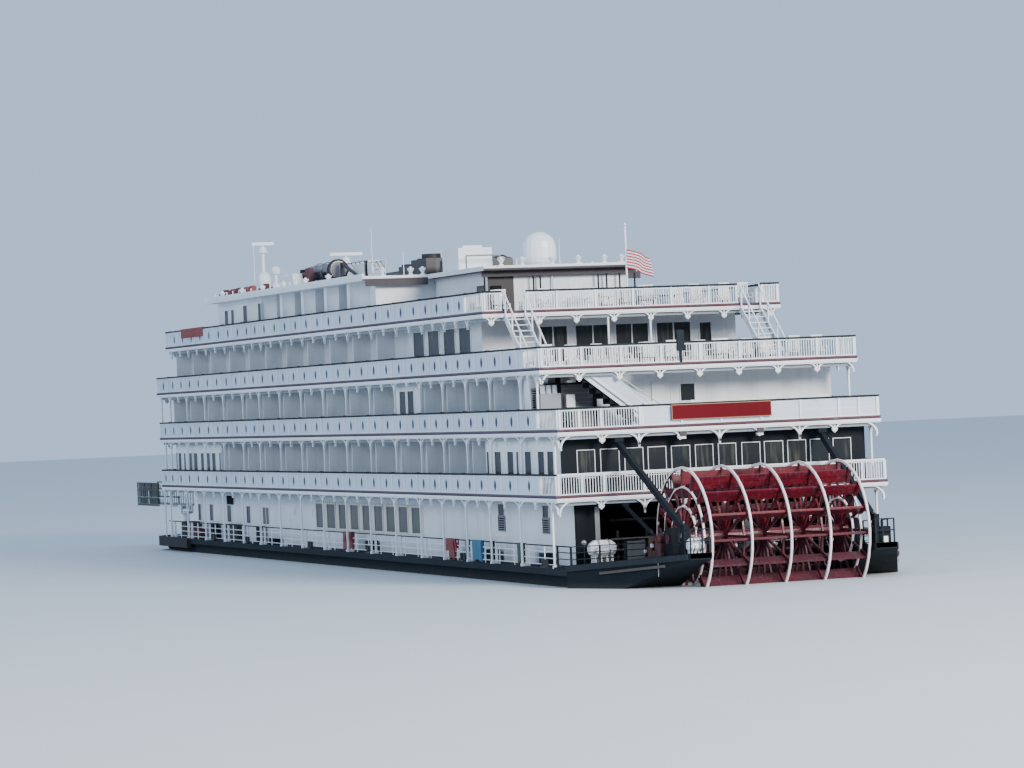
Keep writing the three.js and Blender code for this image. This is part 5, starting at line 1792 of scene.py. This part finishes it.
@dataclass
class DeckFurniture:
    """High-backed chairs, tables and planters on the open decks."""

    def chair(self, shape: Shape, places: Array, facing: float) -> None:
        """White slatted chairs.

        Args:
            shape: where they go.
            places: points on the deck, one row each.
            facing: +1 for seats that face forward, -1 aft.
        """
        back = -0.3 * facing
        parts = [
            (-0.27, 0.27, -0.29, 0.29, 0.4, 0.45),
            (back - 0.02, back + 0.02, -0.29, 0.29, 1.1, 1.2),
            (-0.27, 0.27, -0.33, -0.28, 0.62, 0.66),
            (-0.27, 0.27, 0.28, 0.33, 0.62, 0.66),
        ]
        for y in np.linspace(-0.25, 0.25, 6):
            parts.append((back - 0.012, back + 0.012, y - 0.028, y + 0.028, 0.45, 1.12))
        for x, y in ((-0.25, -0.3), (-0.25, 0.3), (0.25, -0.3), (0.25, 0.3)):
            parts.append((x - 0.025, x + 0.025, y - 0.025, y + 0.025, 0.0, 0.64))
        for x0, x1, y0, y1, z0, z1 in parts:
            shape.boxes(places + [x0, y0, z0], places + [x1, y1, z1], CRATE)

    def open_stern(self, name: str, xs: Numbers, ys: Array, rng: np.random.Generator) -> None:
        """Rows of chairs, a little out of line, with tables between them.

        Args:
            name: the deck.
            xs: the rows.
            ys: the places in each row.
            rng: draws how far each chair stands off its place.
        """
        shape, top, high = Shape(), DECKS[name].top, 0.7
        for i, x in enumerate(xs):
            y = ys + rng.uniform(-0.2, 0.2, len(ys))
            if name == "four":
                y = y[(x > 9.8) | (np.abs(y) < 5.2) | (x < 6.4)]
                y = y[(x > 5.0) | (y < 1.9) | (y > 6.4)]
            spots = rows(x + rng.uniform(-0.25, 0.25, len(y)), y, top)
            self.chair(shape, spots[::2], 1 if i % 2 else -1)
            self.chair(shape, spots[1::3], -1 if i % 2 else 1)
        feet = rows(np.array(xs)[:, None] + 1.1, [-3.4, 0.2], top)
        shape.bars(feet, feet + UP * high, 0.05, CRATE, 8)
        shape.bars(feet + UP * high, feet + UP * (high + 0.04), 0.45, CRATE, 16)
        shape.build("furniture_" + name, slot="rail_paint")

    def planters(self) -> None:
        """Planters and chairs on the narrow stern of the third deck."""
        shape, top = Shape(), DECKS["three"].top
        places = rows(0.9, [7.4, 4.4, -5.2, -7.2], top)
        pot = np.array([[0, 0], [0.2, 0], [0.28, 0.4], [0.25, 0.42], [0, 0.4]])
        bush = np.array([[0.0, 0.4], [0.25, 0.5], [0.32, 0.7], [0.2, 0.92], [0.0, 1.0]])
        shape.turned(pot, places, CAP, 12)
        shape.turned(bush, places, LEAF, 9)
        self.chair(shape, rows(2.2, [-6.4, -4.9, -3.6, -2.3, -1.0, 0.2, 2.6], top), -1)
        self.chair(shape, rows(3.2, [-6.9, -5.6, -2.9, -1.6], top), -1)
        shape.build("furniture_three", slot="rail_paint")

    def build(self) -> None:
        """Sets out the furniture."""
        rng = np.random.default_rng(7)
        self.open_stern("four", (4.4, 7.6, 10.6), np.arange(-7.2, 7.4, 1.3), rng)
        self.open_stern("five", (12.2, 15.4, 18.4), np.arange(-6.9, 7.2, 1.35), rng)
        self.planters()


@dataclass
class MainDeck:
    """Main deck rail, bollards and gear hung on the rail."""

    half: float = 8.07
    aft: float = -0.55
    split: float = 1.2
    fore: float = 72.4
    top: float = 0.85
    height: float = 1.03
    bollard: float = 0.4

    def rail(self) -> None:
        """Round rails on posts, standing for the plain ones: the lower ones are dark over the stern only."""
        shape = Shape()
        y, z = self.half, self.top
        cap = z + self.height
        heights = z + np.array([0.14, 0.44, 0.75])
        for s in (1, -1):
            aft, split, fore = (rows(x, s * y, heights) for x in (self.aft, self.split, self.fore))
            shape.bars(split, fore, 0.024, RAIL, 6)
            shape.bars(aft, split, 0.024, CAP, 6)
            shape.bars(rows(self.aft, s * y, cap), rows(self.fore, s * y, cap), 0.032, CAP, 8)
            posts = rows(np.arange(2.9, self.fore + 0.1, 2.08), s * y, z)
            shape.bars(posts, posts + UP * 1.02, 0.03, RAIL, 6)
            bays = rows(POSTS, s * y, z)
            shape.boxes(bays - [0.06, 0.05, 0], bays + [0.06, 0.05, 1.02], RAIL)
            shape.boxes(bays - [0.12, 0.09, 0], bays + [0.12, 0.09, 0.1], RAIL)
            dark = rows([self.aft, self.split], s * y, arm_top(0.0))
            shape.bars(dark, dark + UP * 0.9, 0.06, CAP, 8)
        ends = rows(self.aft, -y, np.append(heights, cap))
        shape.bars(ends, ends * [1, -1, 1], 0.025, CAP, 6)
        low = arm_top(self.aft)
        posts = rows(self.aft, np.array([-y, -6.8, -5.4, -2.7, 0.0, 2.7, 5.4, 6.64, y]), low)
        shape.bars(posts, posts + UP * (cap - low), 0.05, CAP, 8)
        shape.build("rail_main", replaces=["main_rail"], slot="rail_paint")

    def bollards(self, shape: Shape) -> None:
        """Pairs of bollards on their plates, and dark boxes beside the rail.

        Args:
            shape: where they go.
        """
        for s in (1, -1):
            spots = rows([2.6, 14.2, 29.5, 40.5, 53.5, 61.2], s * 8.2, self.top)
            shape.boxes(spots - [0.35, 0.12, 0.0], spots + [0.35, 0.12, 0.06], IRON)
            for x in (-0.22, 0.22):
                shape.bars(spots + ALONG * x, spots + [x, 0.0, self.bollard], 0.09, IRON, 10)
            lows = rows([30.5, 10.9, 3.6], s * 7.6 - 0.25, self.top)
            shape.boxes(lows, rows([31.3, 11.7, 4.3], s * 7.6 + 0.25, self.top + 0.62), CAP)

    def gear(self) -> None:
        """Bollards, work vests and sheets hung on the rail, and covered boxes inside it."""
        shape, z = Shape(), self.top
        self.bollards(shape)
        for x, width, paint, drop in (
            (33.55, 1.5, GEAR_RED, 0.55), (34.1, 0.55, GEAR_RED, 0.98), (33.0, 0.55, RAFT_RED, 0.9),
            (16.2, 1.6, RAFT_RED, 0.6), (16.1, 0.8, GEAR_RED, 1.0), (13.75, 0.3, TARP_BLUE, 0.6),
            (12.25, 1.5, TARP_BLUE, 1.0), (10.12, 0.25, CAP, 0.9), (6.05, 0.85, LEAF, 0.95),
        ):
            drape(shape, x, self.half, z + 1.08, width, drop, paint)
        for y in (7.55, -7.55):
            for x0, x1, z0, z1, paint in (
                (67.5, 69.2, 0.6, 1.05, MAROON), (66.0, 69.2, 0.0, 0.6, MAROON),
                (69.4, 70.5, 0.0, 1.02, OLIVE), (57.3, 60.2, 0.0, 1.02, OLIVE),
                (62.9, 64.2, 0.0, 1.0, CAP), (52.5, 53.1, 0.0, 1.0, CAP),
                (49.2, 50.4, 0.0, 0.4, CAP),
            ):
                shape.box(x0, x1, y - 0.2, y + 0.2, z + z0, z + z1, paint)
        shape.build("rail_gear", slot="dark_paint")

    def build(self) -> None:
        """Builds the rail and what is on it."""
        self.rail()
        self.gear()


def drape(shape: Shape, x: float, y: float, z: float, width: float, drop: float, paint: Paint) -> None:
    """A jacket or sheet folded over the rail: a closed shell hung on both sides of it.

    At share a of its width and d of its drop, it stands out from the rail by
    0.05 + 0.03 sin(9 a + 2 d), times 0.55 + 0.6 sin(pi (1.2 d + 0.15)) down to where the second
    sine has come to 0.

    Args:
        shape: where it goes.
        x: the middle of its width.
        y: the rail's line.
        z: its top.
        width: along the rail.
        drop: its length down.
        paint: its finish.
    """
    m, n = 9, 8
    a, d = np.meshgrid(np.linspace(-0.5, 0.5, m), np.linspace(0, 1, n), indexing="ij")
    belly = 0.55 + 0.6 * np.sin(math.pi * np.minimum(d * 1.2 + 0.15, 1.0))
    swell = (0.05 + 0.03 * np.sin(9 * a + 2 * d)) * belly
    edge = x + a * width * (1 - 0.18 * d * np.sin(3 * d + x))
    front = np.stack([edge, y + 0.045 + swell, z - d * drop * (1 - 0.06 * np.cos(7 * a))], axis=-1)
    back = front * [1, 0, 1] + np.stack([0 * a, y - 0.04 - swell * 0.7, 0 * a], axis=-1)
    points = np.concatenate([front.reshape(-1, 3), back.reshape(-1, 3)])
    quads = grid_faces(m, n)
    top, foot = np.arange(m) * n, np.arange(m - 1)[::-1] * n + n - 1
    rim = np.concatenate([top, (m - 1) * n + np.arange(1, n), foot, np.arange(1, n - 1)[::-1]])
    nxt = np.roll(rim, -1)
    walls = np.stack([rim, nxt, nxt + m * n, rim + m * n], axis=1)
    shape.add(points, np.concatenate([quads, quads[:, ::-1] + m * n, walls[:, ::-1]]), paint)


@dataclass
class Boards:
    """Blank name boards on the rails, and lamps and a pedestal at the stern."""

    half: float = 2.55
    low: float = 7.5
    high: float = 8.22
    edge: float = 0.035

    def build(self) -> None:
        """Builds the stern board with its gilt edge, the two bow boards, the lamps and the pedestal."""
        shape, edge, x = Shape(), self.edge, -0.02
        half, low, high = self.half, self.low, self.high
        shape.box(x, 0.04, -half, half, low, high, BOARD)
        for z in (low, high - edge):
            shape.box(x - 0.015, x, -half, half, z, z + edge, GOLD)
        for y in (-half, half - edge):
            shape.box(x - 0.015, x, y, y + edge, low + edge, high - edge, GOLD)
        for s in (1, -1):
            y = s * 7.965
            shape.box(62.5, 67.8, *sorted((y, y + s * 0.03)), 13.6, 14.18, BOW_BOARD)
        lamps = rows(0.25, [1.955, -2.0], 6.73)
        shape.boxes(lamps - [0.16, 0.17, 0.0], lamps + [0.16, 0.17, 0.33], BROWN_AND_SHADE)
        shape.boxes(lamps - [0.12, 0.15, 0.12], lamps + [0.12, 0.15, 0.0], SHELL)
        shape.box(2.26, 2.34, 0.93, 1.07, 9.99, 10.75, CAP)
        shape.box(2.2, 2.36, 0.82, 1.18, 10.75, 11.75, CAP)
        shape.build("name_boards", slot="deck_edge_paint")


@dataclass
class Flag:
    """The striped ensign on the stern staff."""

    x: float = 10.9
    y: float = 0.1
    top: float = 16.0
    fly: float = 1.5
    hoist: float = 0.95
    stripes: int = 13

    def build(self) -> None:
        """A sheet hung by its hoist: it droops and folds towards the fly.

        At share u of the fly and v of the hoist, counted from the staff and from the top, a point
        lies 0.06 + 0.341 fly * u aft of the staff, 0.72 fly * u to starboard of it, and
        hoist * v + 0.465 u^1.3 below its top. A wave of 0.1 u sin(9 u + 2 v) is added across and
        half of it along, and 0.02 sin(5 u) upwards.
        """
        m, n = 40, self.stripes * 2 + 1
        u, v = np.meshgrid(np.linspace(0, 1, m), np.linspace(0, 1, n), indexing="ij")
        wave = 0.1 * u * np.sin(9 * u + 2.0 * v)
        x = self.x - 0.06 - self.fly * 0.341 * u + wave * 0.5
        y = self.y - self.fly * 0.72 * u + wave
        z = self.top - self.hoist * v - 0.465 * u**1.3 + 0.02 * np.sin(5 * u)
        points = np.stack([x, y, z], axis=-1)
        quads = grid_faces(m, n)
        stripe = np.arange(len(quads)) % (n - 1) // 2 % 2
        shape = Shape()
        shape.add(points, quads[stripe == 0], FLAG_RED)
        shape.faces.append((quads[stripe == 1], FLAG_WHITE))
        made = shape.build("ensign", slot="rail_paint")
        solid = made.modifiers.new("Thickness", "SOLIDIFY")
        solid.thickness = 0.0004


@dataclass
class Stage:
    """Slats and rails of the bow landing stage."""

    x: float = 73.6
    y: float = 6.6
    z: float = 2.6
    length: float = 9.9

    def build(self) -> None:
        """Builds the slatted deck, the posts and the screened side."""
        shape = Shape()
        x, y, z = self.x, self.y, self.z
        slats = rows(x + np.arange(0.65, self.length - 0.1, 0.22), y, z)
        shape.boxes(slats + [0.0, -0.74, 0.24], slats + [0.16, 0.74, 0.262], STEEL)
        for side in (y + 0.7, y - 0.7):
            posts = rows(x + np.arange(0.75, self.length, 0.6), side, z)
            shape.boxes(posts + [0.0, -0.02, 0.2], posts + [0.04, 0.02, 1.42], STEEL)
        face = y + 0.66
        for x0, x1, z0, z1, half, paint in (
            (4.15, 9.7, 1.22, 1.6, 0.012, STAGE_BROWN), (4.15, 9.7, 0.26, 1.16, 0.012, STAGE_MESH),
            (4.1, 9.8, 1.16, 1.22, 0.045, RAIL), (4.1, 9.8, 0.68, 0.72, 0.045, RAIL),
            (6.9, 7.0, 0.2, 1.2, 0.045, RAIL),
        ):
            shape.box(x + x0, x + x1, face - half, face + half, z + z0, z + z1, paint)
        shape.build("stage_slats", body="stage", slot="stage_metal")


@dataclass
class PlainSolids:
    """Finishes for the solids that show as they are."""

    def build(self) -> None:
        """Paints each node: by its own name, or else by how its name begins."""
        by_name = {
            "hull": HULL, "main_deck": DECK_GREY, "bow_fender": RUBBER, "wheel_frame": WHEEL_RED,
            "stern_door": TRIM, "flagstaff": TRIM, "stair_lower": TRIM,
            "radome": SHELL, "small_dome": SHELL, "globe_lamp": SHELL,
            "stage_post": RAIL, "stage_head": RAIL, "stage_span": STAGE_OLIVE,
        }
        by_start = (
            (("house", "roof", "capsule"), WHITE),
            (("deck_",), WINE),
            (("railing", "gallery", "main_rail", "stair", "mast", "scanner"), RAIL),
            (("stack_foot", "bearing", "brace"), CHARCOAL),
            (("stack",), STACK_STEEL),
            (("",), HULL),
        )
        for name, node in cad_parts.items():
            paint = by_name.get(name) or next(p for starts, p in by_start if name.startswith(starts))
            node.data.materials.clear()
            node.data.materials.append(paint.material())


@dataclass
class Studio:
    """Floor at the waterline, soft lights and the camera at the photograph's view."""

    camera_place: Triple = (-155.4, 67.15, 8.68)
    heading: float = 20.06
    pitch: float = 0.28
    roll: float = -2.43
    lens: float = 126.63
    aim: Triple = (-0.5, 0.0, 0.9)
    floor_half: float = 60.0
    sky: Colour = (0.54, 0.72, 1.0)

    def camera(self) -> None:
        """Places the camera: it looks towards the bow and to starboard, a little rolled."""
        data = bpy.data.cameras.new("camera")
        data.lens, data.sensor_width, data.sensor_fit = self.lens, 36.0, "HORIZONTAL"
        data.clip_start, data.clip_end = 0.1, 500.0
        made = link("camera", data)
        a, e, r = (math.radians(v) for v in (self.heading, self.pitch, self.roll))
        forward = Vector((math.cos(a) * math.cos(e), -math.sin(a) * math.cos(e), math.sin(e)))
        right = forward.cross(Vector((0, 0, 1))).normalized()
        up = right.cross(forward)
        across = right * math.cos(r) + up * math.sin(r)
        above = up * math.cos(r) - right * math.sin(r)
        turn = Matrix((across, above, -forward)).transposed()
        made.matrix_world = Matrix.Translation(point(*self.camera_place)) @ turn.to_4x4()
        bpy.context.scene.camera = made

    def light(self, name: str, place: Triple, size: float, watts: float, colour: Colour) -> None:
        """An area light that faces the boat.

        Args:
            name: its name.
            place: where it stands, in model metres.
            size: its diameter.
            watts: its power.
            colour: its colour.
        """
        data = bpy.data.lights.new(name, "AREA")
        data.shape, data.size, data.energy, data.color = "DISK", size, watts, colour
        made = link(name, data)
        made.location = place
        made.rotation_euler = (Vector(self.aim) - Vector(place)).to_track_quat("-Z", "Y").to_euler()

    def build(self) -> None:
        """Builds floor, world and lights."""
        size, z = self.floor_half, WATERLINE
        mesh = bpy.data.meshes.new("floor")
        corners = [(-size, -size, z), (size, -size, z), (size, size, z), (-size, size, z)]
        mesh.from_pydata(corners, [], [(0, 1, 2, 3)])
        floor = link("floor", mesh)
        paint = Paint("pale_floor", (0.62, 0.66, 0.68), roughness=0.55, dirt=0.0, tone=0.01)
        mesh.materials.append(paint.material())
        world = bpy.data.worlds.new("studio")
        bpy.context.scene.world = world
        world.use_nodes = True
        back = world.node_tree.nodes["Background"]
        back.inputs[0].default_value = (*self.sky, 1.0)
        back.inputs[1].default_value = 1.0
        self.light("key", (-19.0, -4.5, 7.5), 6.0, 4800.0, (1.0, 0.96, 0.9))
        self.light("fill", (-6.0, 20.0, 9.0), 12.0, 1500.0, (0.8, 0.9, 1.0))
        self.camera()


def hangings(ornate: Numbers, pendant: Numbers) -> list[tuple[float, Hanging]]:
    """Where ornate brackets and pendants hang under a stern beam."""
    return [(y, Hanging.ORNATE) for y in ornate] + [(y, Hanging.PENDANT) for y in pendant]


def main() -> None:
    """Builds the boat's pieces in order."""
    logging.basicConfig(level=logging.INFO, format="%(message)s")
    Studio().build()
    PlainSolids().build()
    two = hangings((4.03, 0.0, -4.1), (6.2, 2.05, -2.0, -6.1))
    three = hangings((4.16, 0.08, -4.04), (6.01, 2.09, -1.97, -5.87))
    four = hangings((), (6.17, 4.13, 2.07, 0.02, -2.01, -4.05, -6.11))
    five = hangings((), (7.49, 4.97, 3.01, 1.01, -0.95, -2.94, -4.92, -7.49))
    pieces = [
        Gallery("one", "two", DECKS["one"].top, np.append(POSTS, 1.0), two, Hanging.SPREAD),
        Gallery("two", "three", DECKS["two"].top, np.append(POSTS, 0.9), three, Hanging.SPREAD),
        Gallery("three", "four", DECKS["three"].top, np.append(POSTS, 3.0), four),
        Gallery("four", "five", None, POSTS[POSTS > 12], five, Hanging.WEDGE),
        Railing("two", open_to=2.2, stern_cap=RAIL),
        Railing("three", open_to=2.8, panels_from=4.05),
        Railing("four", open_to=4.4),
        Railing("five", open_to=13.2, gate=(5.65, 6.95)),
        Deckhouses(),
        EngineFlat(),
        PaddleWheel(),
        SternGear(),
        Roof(),
        DeckFurniture(),
        MainDeck(),
        Boards(),
        Flag(),
        Stage(),
    ]
    for piece in pieces:
        LOG.info("building %s", type(piece).__name__)
        piece.build()


if __name__ == "__main__":
    main()
